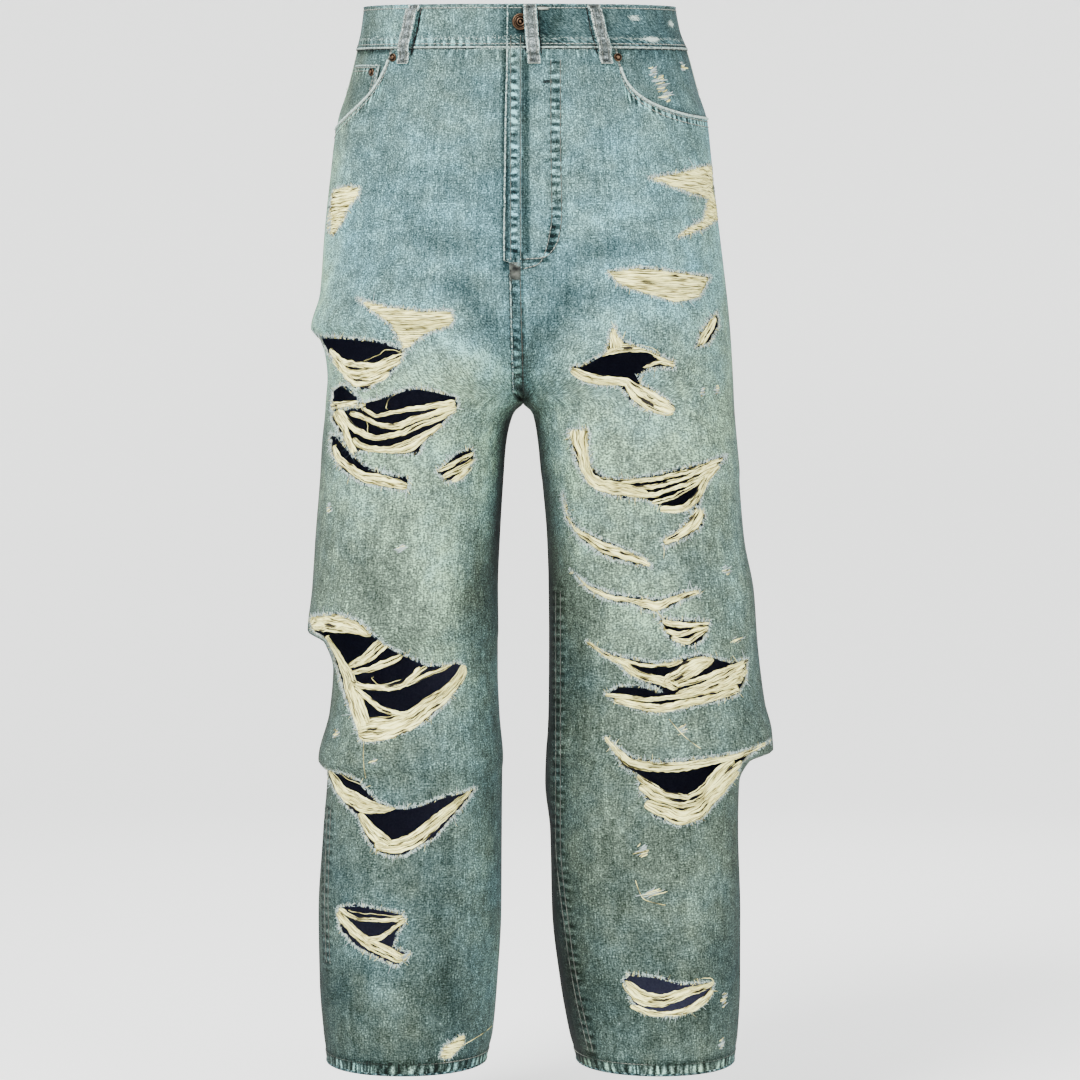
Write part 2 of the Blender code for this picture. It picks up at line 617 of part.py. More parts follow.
def main():
    for thing in list(bpy.data.objects):
        bpy.data.objects.remove(thing, do_unlink=True)
    parts = new_collection("ripped_jeans")
    cutters = new_collection("cutters")
    denim = {}
    shades = {
        "front": (0.175, 0.265, 0.290),
        "back": (0.165, 0.250, 0.280),
        "yoke": (0.165, 0.250, 0.280),
        "facing": (0.190, 0.290, 0.320),
        "pocket": (0.170, 0.260, 0.290),
        "waistband": (0.150, 0.230, 0.265),
        "placket": (0.200, 0.300, 0.320),
        "belt_loop": (0.160, 0.245, 0.280),
    }
    for name, colour in shades.items():
        denim[name] = new_material("denim_" + name, colour, 0.88)
    copper = new_material("aged_copper", (0.30, 0.19, 0.12), 0.42, 1.0)
    for leg in SIDE:
        build_front(leg, denim["front"], parts, cutters)
        build_back(leg, denim["back"], parts)
        build_back_pocket(leg, denim["pocket"], parts)
    build_facing("right", WALL + PATCH_WALL + 2 * LAYER_GAP + GAP, denim["facing"], parts)
    build_facing("left", WALL + LAYER_GAP, denim["facing"], parts)
    build_coin_pocket(denim["pocket"], parts)
    build_placket(denim["placket"], parts)
    build_waistband(denim["waistband"], parts)
    for number, place in enumerate(BELT_LOOPS, start=1):
        build_belt_loop(number, place, denim["belt_loop"], parts)
    build_trims(copper, parts)


main()
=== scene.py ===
# %% [markdown]
# # Ripped wide-leg jeans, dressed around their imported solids
#
# A pair of jeans is a few flat pieces of twill, sewn along their edges into two tubes. The solids of
# the frame already say where every piece lies. Here each one gets a finer surface of the same shape,
# with its folds, torn edges, loose threads, seams and fading. The solids stay hidden behind them.

# %% Setup
import math

import bpy
import numpy as np
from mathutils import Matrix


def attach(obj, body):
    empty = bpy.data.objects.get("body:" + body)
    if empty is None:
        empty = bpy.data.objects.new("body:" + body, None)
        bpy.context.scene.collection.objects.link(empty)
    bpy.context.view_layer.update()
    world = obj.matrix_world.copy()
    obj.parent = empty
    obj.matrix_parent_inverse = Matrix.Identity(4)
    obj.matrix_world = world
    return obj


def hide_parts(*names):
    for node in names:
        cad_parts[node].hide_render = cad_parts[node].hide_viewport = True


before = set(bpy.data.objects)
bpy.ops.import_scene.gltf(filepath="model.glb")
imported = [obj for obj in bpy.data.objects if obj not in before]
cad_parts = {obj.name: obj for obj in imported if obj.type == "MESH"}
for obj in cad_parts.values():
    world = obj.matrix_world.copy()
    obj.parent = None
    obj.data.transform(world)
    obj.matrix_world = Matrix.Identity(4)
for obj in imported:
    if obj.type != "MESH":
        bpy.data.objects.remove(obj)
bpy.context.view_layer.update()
rng = np.random.default_rng(7)
MM = 0.001

# %% [markdown]
# ## The skin that all pieces share
#
# Cloth on a body is close to a tube, and a tube is a section carried down a leg. The section here is a
# superellipse, an oval whose exponent can be a little over 2, so that its sides are flatter than an
# ellipse's. Its half widths and depths come from two short tables, the same as the solids have. One
# function then gives any point of any piece, from four plain words: which leg, front or back, how far
# across the panel, and at what level.

# %% The tables of the sections
WALL = 1.8 * MM  # washed denim with its felled seams
GAP = 0.3 * MM  # between neighbouring solids
LAYER_GAP = 0.5 * MM  # between a piece and what is sewn on it
PATCH_WALL = 1.4 * MM  # pockets and facings
BAND_WALL = 2.6 * MM  # the waistband, with its lining
BAND_PROUD = 0.6 * MM  # how far the waistband stands out of the skin
BAND_TOP, BAND_FOOT = 0.0225, -0.020  # levels of the waistband's edges
TILT = 0.149  # the waist rises towards the back by this much a metre
TILT_END = -0.340  # the level where the rows are level all round again
FORK = -0.373  # the level where one tube becomes two
HEM = -1.028
FULL_WIDTH = -0.110  # under this level a front is as wide as its leg
SIDE = {"right": -1.0, "left": 1.0}
BILLOW_POWER = 0.8  # how evenly a fold that puffs out is spread over the front
CURVE_STEPS = 97  # how many points a section's length is measured in

TRUNK = np.array([
    # level   merge  front  back   power
    (0.030, 0.00, 0.1035, 0.1050, 2.40),
    (0.000, 0.00, 0.1050, 0.1080, 2.40),
    (-0.020, 0.00, 0.1080, 0.1130, 2.40),
    (-0.090, 0.01, 0.1180, 0.1300, 2.40),
    (-0.150, 0.06, 0.1240, 0.1410, 2.38),
    (-0.200, 0.15, 0.1280, 0.1450, 2.34),
    (-0.240, 0.28, 0.1305, 0.1435, 2.30),
    (-0.270, 0.42, 0.1320, 0.1410, 2.26),
    (-0.300, 0.57, 0.1325, 0.1380, 2.22),
    (-0.330, 0.75, 0.1320, 0.1350, 2.20),
    (-0.352, 0.88, 0.1315, 0.1330, 2.18),
    (-0.373, 1.00, 0.1310, 0.1320, 2.16),
    (-0.450, 1.00, 0.1300, 0.1280, 2.14),
    (-0.550, 1.00, 0.1250, 0.1200, 2.12),
    (-0.650, 1.00, 0.1160, 0.1120, 2.10),
    (-0.800, 1.00, 0.1070, 0.1060, 2.10),
    (-1.040, 1.00, 0.1000, 0.1000, 2.10),
])

LEGS = {
    "right": np.array([
        # level   outer  inner  billow
        (0.030, 0.1580, 0.0000, 0.000),
        (0.000, 0.1610, 0.0000, 0.000),
        (-0.020, 0.1655, 0.0000, 0.000),
        (-0.060, 0.1755, 0.0000, 0.000),
        (-0.090, 0.1850, 0.0000, 0.000),
        (-0.150, 0.1925, 0.0000, 0.000),
        (-0.210, 0.1985, 0.0000, 0.000),
        (-0.265, 0.2020, 0.0000, 0.002),
        (-0.300, 0.2100, 0.0000, 0.005),
        (-0.312, 0.2010, 0.0000, 0.001),
        (-0.350, 0.1950, 0.0000, 0.000),
        (-0.373, 0.1965, 0.0000, 0.001),
        (-0.382, 0.1970, 0.0090, 0.001),
        (-0.412, 0.2000, 0.0165, 0.001),
        (-0.450, 0.2025, 0.0195, 0.000),
        (-0.510, 0.2070, 0.0230, 0.001),
        (-0.560, 0.2095, 0.0250, 0.004),
        (-0.600, 0.2130, 0.0250, 0.007),
        (-0.612, 0.1985, 0.0250, 0.001),
        (-0.640, 0.1900, 0.0250, -0.002),
        (-0.680, 0.1930, 0.0235, 0.000),
        (-0.728, 0.2030, 0.0200, 0.005),
        (-0.740, 0.1955, 0.0205, 0.000),
        (-0.800, 0.1995, 0.0210, 0.000),
        (-0.880, 0.2040, 0.0215, 0.001),
        (-0.950, 0.2030, 0.0255, 0.000),
        (-1.000, 0.1990, 0.0300, 0.000),
        (-1.040, 0.1940, 0.0390, 0.000),
    ]),
    "left": np.array([
        # level   outer  inner  billow
        (0.030, 0.1515, 0.0000, 0.000),
        (0.000, 0.1560, 0.0000, 0.000),
        (-0.020, 0.1635, 0.0000, 0.000),
        (-0.060, 0.1745, 0.0000, 0.000),
        (-0.090, 0.1840, 0.0000, 0.000),
        (-0.150, 0.1895, 0.0000, 0.000),
        (-0.210, 0.1970, 0.0000, 0.000),
        (-0.300, 0.2065, 0.0000, 0.001),
        (-0.350, 0.2095, 0.0000, 0.001),
        (-0.373, 0.2105, 0.0000, 0.001),
        (-0.382, 0.2110, 0.0090, 0.001),
        (-0.412, 0.2130, 0.0150, 0.003),
        (-0.440, 0.2150, 0.0180, 0.005),
        (-0.455, 0.2160, 0.0195, 0.001),
        (-0.510, 0.2210, 0.0240, 0.000),
        (-0.560, 0.2300, 0.0255, 0.002),
        (-0.610, 0.2335, 0.0260, 0.003),
        (-0.670, 0.2410, 0.0255, 0.002),
        (-0.700, 0.2475, 0.0250, 0.006),
        (-0.718, 0.2480, 0.0240, 0.009),
        (-0.730, 0.2270, 0.0225, 0.000),
        (-0.752, 0.2165, 0.0220, -0.003),
        (-0.800, 0.2150, 0.0270, 0.000),
        (-0.880, 0.2170, 0.0290, 0.001),
        (-0.950, 0.2170, 0.0370, 0.000),
        (-1.000, 0.2145, 0.0460, 0.000),
        (-1.040, 0.2090, 0.0560, 0.000),
    ]),
}
print("sections:", len(TRUNK), "for the trunk,", len(LEGS["right"]), "and", len(LEGS["left"]), "for the legs")


# %% The skin itself
def monotone(at, places, values):
    """A cubic through (places, values) whose slope at a row is the harmonic mean of the slopes
    beside it, and zero where these have unlike signs, so that a step in a table stays a step."""
    order = np.argsort(places)
    places = places[order]
    values = values[order]
    run = np.diff(places)
    rise = np.diff(values) / run
    slope = np.zeros_like(values)
    product = rise[:-1] * rise[1:]
    total = np.where(product > 0, rise[:-1] + rise[1:], 1.0)
    slope[1:-1] = np.where(product > 0, 2 * product / total, 0.0)
    k = np.clip(np.searchsorted(places, at) - 1, 0, len(run) - 1)
    t = (at - places[k]) / run[k]
    start = (1 + 2 * t) * (1 - t) ** 2 * values[k]
    end = t ** 2 * (3 - 2 * t) * values[k + 1]
    bend = run[k] * t * (1 - t) * ((1 - t) * slope[k] - t * slope[k + 1])
    return start + end + bend


def smooth(x, low, high):
    """0 at low, 1 at high, and 3t^2 - 2t^3 between them."""
    t = np.clip((x - low) / (high - low), 0.0, 1.0)
    return t * t * (3 - 2 * t)


def bell(distance, width):
    """1 at no distance and near 0 at twice the width: exp(-(distance / width)^2)."""
    return np.exp(-(distance / width) ** 2)


def within(t, share):
    """0 at both ends of t from 0 to 1, and 1 from that share of it inwards."""
    return smooth(t, 0.0, share) * smooth(1 - t, 0.0, share)


def oval(leg, level):
    """Centre, half width, half depths and exponent of a leg's superellipse at these levels."""
    merge, front, back, power = (monotone(level, TRUNK[:, 0], TRUNK[:, i]) for i in (1, 2, 3, 4))
    outer, inner = (monotone(level, LEGS[leg][:, 0], LEGS[leg][:, i]) for i in (1, 2))
    inner = np.where(level > FORK, -outer * (1 - merge) / (1 + merge), inner)
    return (outer + inner) / 2, (outer - inner) / 2, front, back, power


def skin(leg, face, across, level, out=0.0):
    """Points of the skin: x = centre + width * cos^(2/power), y = depth * sin^(2/power), with the angle
    found by walking the curve so that across is a share of its length. out moves them outwards."""
    across, level, out = np.broadcast_arrays(*(np.asarray(v, float) for v in (across, level, out)))
    centre, wide, front, back, power = oval(leg, level)
    deep = front if face == "front" else back
    share = np.clip(centre / wide, 0.0, 1.0)
    first = np.where(level > FORK, np.arccos(-share ** (power / 2)), math.pi)
    steps = np.linspace(0.0, 1.0, CURVE_STEPS)
    angle = first[..., None] * (1 - steps)
    root = (2 / power)[..., None]
    x = wide[..., None] * np.sign(np.cos(angle)) * np.abs(np.cos(angle)) ** root
    y = deep[..., None] * np.abs(np.sin(angle)) ** root
    walked = np.cumsum(np.hypot(np.diff(x), np.diff(y)), axis=-1)
    walked = np.concatenate([np.zeros_like(walked[..., :1]), walked], axis=-1)
    walked = walked / walked[..., -1:]
    k = np.clip((walked < across[..., None]).sum(-1) - 1, 0, len(steps) - 2)[..., None]
    low = np.take_along_axis(walked, k, -1)[..., 0]
    high = np.take_along_axis(walked, k + 1, -1)[..., 0]
    at = steps[k[..., 0]] + (across - low) / (high - low) * steps[1]
    angle = first * (1 - np.clip(at, 0.0, 1.0))
    cosine = np.cos(angle)
    sine = np.abs(np.sin(angle))
    toward = SIDE[leg]
    facing = -1.0 if face == "front" else 1.0
    x = toward * (centre + wide * np.sign(cosine) * np.abs(cosine) ** (2 / power))
    y = facing * deep * sine ** (2 / power)
    normal_x = toward * np.sign(cosine) * np.abs(cosine) ** (2 - 2 / power) / wide
    normal_y = facing * sine ** (2 - 2 / power) / deep
    length = np.hypot(normal_x, normal_y)
    if face == "front":
        table = LEGS[leg]
        out = out + monotone(level, table[:, 0], table[:, 3]) * np.sin(math.pi * across) ** BILLOW_POWER
    x = x + out * normal_x / length
    y = y + out * normal_y / length
    tilt = TILT * smooth(level, TILT_END, BAND_FOOT)
    return np.stack([x, y, level + tilt * y], axis=-1)


probe = skin("right", "front", np.linspace(0, 1, 41), np.full(41, HEM))
print("hem of the right front:", np.round(probe.min(0), 3))

# %% [markdown]
# ## From arrays to meshes
#
# Every surface below is a grid of points with a few numbers at each point, such as how faded the cloth
# is there. A torn edge doesn't follow the grid, so the grid is cut along it: each triangle that the
# edge crosses is split where a signed distance passes through zero.


# %% Meshes from arrays
TOO_CLOSE = 0.05 * MM  # a grid point this near to a cut counts as kept


def grid_triangles(rows, columns):
    """Two triangles for each cell of a grid of points stored row by row."""
    index = np.arange(rows * columns).reshape(rows, columns)
    a, b, c, d = index[:-1, :-1], index[:-1, 1:], index[1:, 1:], index[1:, :-1]
    return np.stack([np.stack([a, b, c], -1), np.stack([a, c, d], -1)], 2).reshape(-1, 3)


def halves(quads):
    """Two triangles for each four-sided face, all the first ones and then all the second."""
    quads = quads.reshape(-1, 4)
    return np.concatenate([quads[:, [0, 1, 2]], quads[:, [0, 2, 3]]])


def join(parts):
    """Parts as one. A part is points, faces, and arrays with a row for each point, and its faces count
    on from the points of the parts before it."""
    starts = np.cumsum([0] + [len(part[0]) for part in parts])
    moved = [(points, faces + start, *rest) for start, (points, faces, *rest) in zip(starts, parts)]
    return [np.concatenate(column) for column in zip(*moved)]


def clip(values, triangles, keep):
    """The part of a triangle mesh where keep is over zero. values holds everything known at a point,
    one column each, and a new point on a cut edge is the weighted mean of the edge's two ends."""
    keep = np.where(np.abs(keep) < TOO_CLOSE, TOO_CLOSE, keep)
    inside = keep > 0
    count = inside[triangles].sum(1)
    corners = []
    for kept_corners in (1, 2):
        cut = triangles[count == kept_corners]
        odd = (inside[cut] == (kept_corners == 1)).argmax(1)
        corners += [cut[np.arange(len(cut)), (odd + i) % 3] for i in range(3)]
    a1, b1, c1, a2, b2, c2 = corners
    pairs = [np.stack(pair, 1) for pair in ((a1, b1), (a1, c1), (a2, b2), (a2, c2))]
    ends, number = np.unique(np.sort(np.concatenate(pairs), axis=1), axis=0, return_inverse=True)
    start, end = ends.T
    share = keep[start] / (keep[start] - keep[end])
    fresh = values[start] + (values[end] - values[start]) * share[:, None]
    places = np.cumsum([len(pair) for pair in pairs])[:-1]
    ab1, ac1, ab2, ac2 = np.split(number.ravel() + len(values), places)
    cells = ((a1, ab1, ac1), (ab2, b2, c2), (ab2, c2, ac2))
    faces = np.concatenate([triangles[count == 3]] + [np.stack(cell, 1) for cell in cells])
    used, renumbered = np.unique(faces, return_inverse=True)
    return np.concatenate([values, fresh])[used], renumbered.reshape(faces.shape)


def mesh_object(name, points, faces, uv=None, **numbers):
    """An object at the origin, unturned, from arrays. uv and numbers are kept at each point."""
    mesh = bpy.data.meshes.new(name)
    sides = faces.shape[1]
    mesh.vertices.add(len(points))
    mesh.vertices.foreach_set("co", np.ascontiguousarray(points, np.float32).ravel())
    mesh.loops.add(faces.size)
    mesh.loops.foreach_set("vertex_index", np.ascontiguousarray(faces, np.int32).ravel())
    mesh.polygons.add(len(faces))
    mesh.polygons.foreach_set("loop_start", np.arange(0, faces.size, sides, dtype=np.int32))
    if uv is not None:
        layer = mesh.uv_layers.new(name="cloth")
        layer.data.foreach_set("uv", np.ascontiguousarray(uv[faces.ravel()], np.float32).ravel())
    for key, value in numbers.items():
        mesh.attributes.new(key, "FLOAT", "POINT").data.foreach_set("value", value.astype(np.float32))
    mesh.update(calc_edges=True)
    mesh.validate()
    mesh.shade_smooth()
    thing = bpy.data.objects.new(name, mesh)
    bpy.context.scene.collection.objects.link(thing)
    return thing


def facing_out(points, faces, face):
    """The faces, turned over if they look into the garment."""
    a, b, c = (points[faces[:, i]] for i in range(3))
    normal = np.cross(b - a, c - a).sum(0)
    outwards = -1.0 if face == "front" else 1.0
    return faces if normal[1] * outwards > 0 else faces[:, ::-1]


print("a 2 by 2 grid of points makes", len(grid_triangles(2, 2)), "triangles")

# %% [markdown]
# ## Washed denim
#
# Denim is a twill of indigo warp threads, which run down the leg, over undyed weft. Washing takes the
# indigo off the tops of the threads first, so the cloth looks heathered: short upright streaks and
# specks of pale and dark. The real threads are 0.4 mm apart, too fine to show in a picture of the whole
# garment, so streaks and twill are drawn about three times as coarse. The pattern is laid on a UV map
# in metres of cloth, so that it follows the panels, and the slow clouds of fading on the object.


# %% Nodes and colours
def colour(code):
    """A hex sRGB colour as linear numbers: above 0.04, ((c + 0.055) / 1.055) to the power 2.4."""
    channels = [int(code[i:i + 2], 16) / 255 for i in (1, 3, 5)]
    return (*(c / 12.92 if c <= 0.04045 else ((c + 0.055) / 1.055) ** 2.4 for c in channels), 1.0)


def add(tree, kind, inputs=None, out=0, **settings):
    """A node with its settings, as its output out. An input is a number, or the output that feeds it."""
    made = tree.nodes.new("ShaderNode" + kind)
    for key, value in settings.items():
        setattr(made, key, value)
    for key, value in (inputs or {}).items():
        if isinstance(value, bpy.types.NodeSocket):
            tree.links.new(value, made.inputs[key])
        else:
            made.inputs[key].default_value = value
    return made.outputs[out]


def new_material(name, sockets):
    """A material, its tree and its shader. What is the same all over is set on the shader's sockets."""
    material = bpy.data.materials.new(name)
    material.use_nodes = True
    shader = material.node_tree.nodes["Principled BSDF"]
    for key, value in sockets.items():
        shader.inputs[key].default_value = value
    return material, material.node_tree, shader


# %% Patterns of cloth
def combed(tree, place, wide, long):
    """Noise whose grains are wide mm across the cloth and long mm down it, on a map in metres."""
    scaled = add(tree, "Mapping", {"Vector": place, "Scale": (1 / (wide * MM), 1 / (long * MM), 1.0)})
    return add(tree, "TexNoise", {"Vector": scaled, "Scale": 1.0, "Detail": 2.0})


def ripples(tree, place, pitch, direction):
    """Uneven waves, one every pitch mm in direction X or Y of a map in metres."""
    return add(tree, "TexWave", {"Vector": place, "Scale": 0.1 * math.pi / (pitch * MM), "Distortion": 2.2,
                                 "Detail": 1.0}, bands_direction=direction, out="Fac")


def clouds(tree, place, size, number):
    """Noise whose clouds are size mm across, in the place of that number."""
    return add(tree, "TexNoise", {"Vector": place, "Scale": 1 / (size * MM), "Detail": 3.0, "W": number},
               noise_dimensions="4D")


def sums(tree, *terms):
    """Sum of factor times (value - 0.5), the way all the patterns are added up."""
    total = 0.0
    for value, factor in terms:
        part = add(tree, "Math", {0: value, 1: factor, 2: -0.5 * factor}, operation="MULTIPLY_ADD")
        total = add(tree, "Math", {0: part, 1: total})
    return total


def ramp(tree, value, codes):
    """The colour that runs evenly through the codes as value goes from 0 to 1."""
    made = add(tree, "ValToRGB", {"Fac": value})
    stops = made.node.color_ramp.elements
    for index, code in enumerate(codes):
        position = index / (len(codes) - 1)
        stop = stops[index] if index < 2 else stops.new(position)
        stop.position = position
        stop.color = colour(code)
    return made


# %% The denim
# grains of the pattern, in mm across and down the cloth, about three times as coarse as real threads
WARP, WEFT, GRAIN, SLUB = (1.3, 6.5), (4.5, 1.4), (1.5, 1.6), (4.0, 60.0)
TUCK_PITCH, GATHER_PITCH = 8.8, 7.2  # mm from pucker to pucker, beside a seam and at an edge
PAINTED_SHADE_COLOUR = "#05080a"  # near black, the painted shade along the edges of the legs


def washed_denim(name, cool, warm, worn="#9cb0a8"):
    """Indigo twill, stone-washed. Its colour runs through the codes, from deepest to palest, as a
    level goes from 0 to 1: level = fade of the point + slow clouds + heather of the threads."""
    material, tree, shader = new_material(name, {"Roughness": 0.95, "Specular IOR Level": 0.12})
    cloth = add(tree, "UVMap", uv_map="cloth")
    down = add(tree, "SeparateXYZ", {"Vector": cloth}, out=1)
    place = add(tree, "TexCoord", out="Object")
    fade, wear, torn, sun, painted_shade, along, tuck, gather = (
        add(tree, "Attribute", attribute_name=key, out="Fac")
        for key in ("fade", "wear", "torn", "sun", "painted_shade", "along", "tuck", "gather"))

    def puckers(strength, waves):
        """Short dark and pale bars, as strong as a seam has drawn the cloth together."""
        bars = add(tree, "MapRange", {"Value": waves, "From Min": -0.13, "From Max": 0.13,
                                      "To Min": -0.5, "To Max": 0.5})
        return add(tree, "Math", {0: bars, 1: strength}, operation="MULTIPLY")

    warp, weft, grain, slub = (combed(tree, cloth, *size) for size in (WARP, WEFT, GRAIN, SLUB))
    lengthwise = add(tree, "CombineXYZ", {"X": along, "Y": down})
    tucks = sums(tree, (ripples(tree, cloth, TUCK_PITCH, "Y"), 0.20), (combed(tree, cloth, 16.0, 4.4), 0.65))
    gathers = sums(tree, (ripples(tree, lengthwise, GATHER_PITCH, "X"), 0.17),
                   (combed(tree, lengthwise, 4.2, 22.0), 0.70))
    drawn = add(tree, "Math", {0: puckers(tuck, tucks), 1: puckers(gather, gathers)})
    pattern = sums(tree, (warp, 0.65), (weft, 0.45), (grain, 1.30), (slub, 0.30),
                   (clouds(tree, place, 12, 1.0), 0.45), (clouds(tree, place, 60, 2.0), 0.30))
    level = add(tree, "Math", {0: fade, 1: pattern})
    # the puckers of seams and edges move the level: partly rubbed ridges, partly painted shade and highlight
    # of their bars
    level = add(tree, "Math", {0: drawn, 1: 0.6, 2: level}, operation="MULTIPLY_ADD")
    blotches = sums(tree, (clouds(tree, place, 70, 4.0), 1.2), (clouds(tree, place, 20, 5.0), 0.8))
    yellow = add(tree, "Math", {0: sun, 1: blotches}, use_clamp=True)
    base = add(tree, "Mix", {"Factor": yellow, 6: ramp(tree, level, cool), 7: ramp(tree, level, warm)},
               data_type="RGBA", out=2)
    rubbed = add(tree, "Math", {0: wear, 1: sums(tree, (grain, 1.6), (warp, 0.9))})
    torn = add(tree, "MapRange", {"Value": torn, "From Min": 0.55, "To Max": 0.75})
    bare = add(tree, "Math", {0: rubbed, 1: torn})
    bare = add(tree, "MapRange", {"Value": bare, "From Min": 0.35, "From Max": 0.75})
    # the first mix is real wear, the second paints shade in near black along the edges of the legs
    for factor, code in ((bare, worn), (painted_shade, PAINTED_SHADE_COLOUR)):
        base = add(tree, "Mix", {"Factor": factor, 6: base, 7: colour(code)}, data_type="RGBA", out=2)
    tree.links.new(base, shader.inputs["Base Color"])

    twill = add(tree, "Mapping", {"Vector": cloth, "Scale": (1 / (1.5 * MM), 1 / (2.2 * MM), 1.0)})
    twill = add(tree, "TexWave", {"Vector": twill, "Scale": 0.32, "Distortion": 1.5, "Detail": 1.0},
                bands_direction="DIAGONAL", out="Fac")
    height = sums(tree, (twill, 0.35), (warp, 1.1), (weft, 0.8), (grain, 0.9))
    height = add(tree, "Math", {0: drawn, 1: 1.6, 2: height}, operation="MULTIPLY_ADD")
    bump = add(tree, "Bump", {"Height": height, "Strength": 0.45, "Distance": 0.5 * MM})
    tree.links.new(bump, shader.inputs["Normal"])
    return material


def plain_cloth(name, code, speckle):
    """A plain colour with soft specks: the reverse of the cloth, painted dark navy as the shade inside the
    garment, or the pale core of a torn rim.
    """
    material, tree, shader = new_material(name, {"Roughness": 0.95, "Specular IOR Level": 0.1})
    place = add(tree, "TexCoord", out="Object")
    noise = add(tree, "TexNoise", {"Vector": place, "Scale": 500.0, "Detail": 1.0})
    base = add(tree, "Mix", {"Factor": noise, 6: colour(code), 7: colour(speckle)}, data_type="RGBA", out=2)
    tree.links.new(base, shader.inputs["Base Color"])
    return material


DENIM = washed_denim(
    "washed_denim_twill",
    cool=("#010d0f", "#0e2426", "#253739", "#394f52", "#517378", "#73b6c1"),
    warm=("#070d08", "#19241b", "#2e3730", "#434f46", "#607363", "#8eb694"))
RUBBED = ("#08090a", "#1c2121", "#313635", "#474e4d", "#677071", "#a0acaa")
LOOP_DENIM = washed_denim("washed_denim_rubbed_pale", RUBBED, RUBBED, worn="#b8c2b8")
# the reverse, seen through the rips and down the waist, is painted dark navy as the shade inside the garment
REVERSE_PAINTED_SHADE = plain_cloth("navy_reverse_painted_shade", "#393a50", "#4f5169")
RIM = plain_cloth("frayed_rim", "#9fb0ad", "#d8dbc8")
print("materials:", [material.name for material in (DENIM, LOOP_DENIM, REVERSE_PAINTED_SHADE, RIM)])

# %% [markdown]
# ## Panels
#
# A pattern cutter draws a panel as a flat shape. Here it is a grid of places on the skin, with rows
# that start at its curved top edge. Folds and creases are soft troughs and ridges: each one is a line
# with a half width and a height, which the grid's points are moved by. Solidify then gives the wall,
# with the reverse inside, painted dark navy as the shade within the garment, and a pale rim.

# %% Folds
FOLDS = {
    # x1, z1, x2, z2, half width, height, all in mm, seen from in front or from behind
    ("right", "front"): [
        (-20, -215, -95, -190, 7, 0.9), (-22, -235, -120, -222, 8, -1.0), (-24, -252, -110, -246, 7, 0.9),
        (-26, -272, -150, -262, 9, -0.8), (-60, -150, -130, -120, 16, 1.2), (-12, -330, -70, -250, 12, -1.6),
        (-16, -350, -100, -300, 12, 1.5), (-30, -420, -60, -560, 16, 1.8), (-50, -470, -45, -640, 14, -1.5),
        (-90, -480, -70, -600, 20, 1.6), (-170, -500, -130, -590, 16, -1.4), (-70, -720, -40, -860, 14, 1.4),
        (-150, -830, -120, -1000, 18, 1.5), (-80, -860, -60, -1010, 16, -1.5),
        (-180, -930, -60, -990, 12, 1.0), (-110, -900, -190, -960, 10, -0.9)],
    ("left", "front"): [
        (45, -215, 120, -190, 7, 0.9), (44, -238, 140, -225, 8, -1.0), (40, -256, 130, -250, 7, 0.9),
        (30, -278, 160, -268, 9, -0.8), (60, -150, 140, -115, 16, 1.2), (12, -330, 60, -250, 12, -1.6),
        (14, -352, 90, -300, 12, 1.4), (40, -420, 60, -560, 14, 1.5), (150, -500, 190, -590, 16, -1.4),
        (60, -560, 50, -700, 12, -1.3), (90, -560, 130, -610, 12, 1.2), (180, -830, 140, -1000, 18, 1.5),
        (80, -800, 110, -900, 14, -1.2), (60, -900, 150, -960, 12, 1.1), (100, -1010, 190, -960, 12, -1.0)],
    ("right", "back"): [
        (-10, -330, -90, -290, 11, -1.6), (-12, -350, -120, -320, 12, 1.5), (-30, -420, -150, -380, 12, -1.6),
        (-40, -560, -150, -520, 14, 1.8), (-30, -600, -160, -575, 12, -1.8), (-50, -640, -170, -630, 13, 1.6),
        (-160, -700, -110, -900, 18, 1.8), (-80, -740, -60, -980, 16, -1.6),
        (-60, -900, -150, -960, 12, 1.2)],
    ("left", "back"): [
        (10, -330, 95, -288, 11, -1.6), (12, -352, 125, -325, 12, 1.5), (30, -425, 160, -385, 12, -1.6),
        (40, -565, 160, -530, 14, 1.8), (34, -605, 170, -580, 12, -1.8), (55, -650, 180, -640, 13, 1.6),
        (170, -700, 120, -900, 18, 1.8), (90, -740, 80, -980, 16, -1.6), (70, -900, 160, -965, 12, 1.2)],
}


def relief(leg, face, x, z):
    """Height of the folds in metres: height times exp(-(distance / half width)^2), tapering along."""
    total = np.zeros_like(x)
    for x1, z1, x2, z2, wide, high in FOLDS[leg, face]:
        run_x, run_z = (x2 - x1) * MM, (z2 - z1) * MM
        t = ((x - x1 * MM) * run_x + (z - z1 * MM) * run_z) / (run_x ** 2 + run_z ** 2)
        t = np.clip(t, 0.0, 1.0)
        away = np.hypot(x - x1 * MM - t * run_x, z - z1 * MM - t * run_z)
        total += high * MM * bell(away, wide * MM) * (0.25 + 0.75 * np.sin(math.pi * t) ** 0.7)
    return total


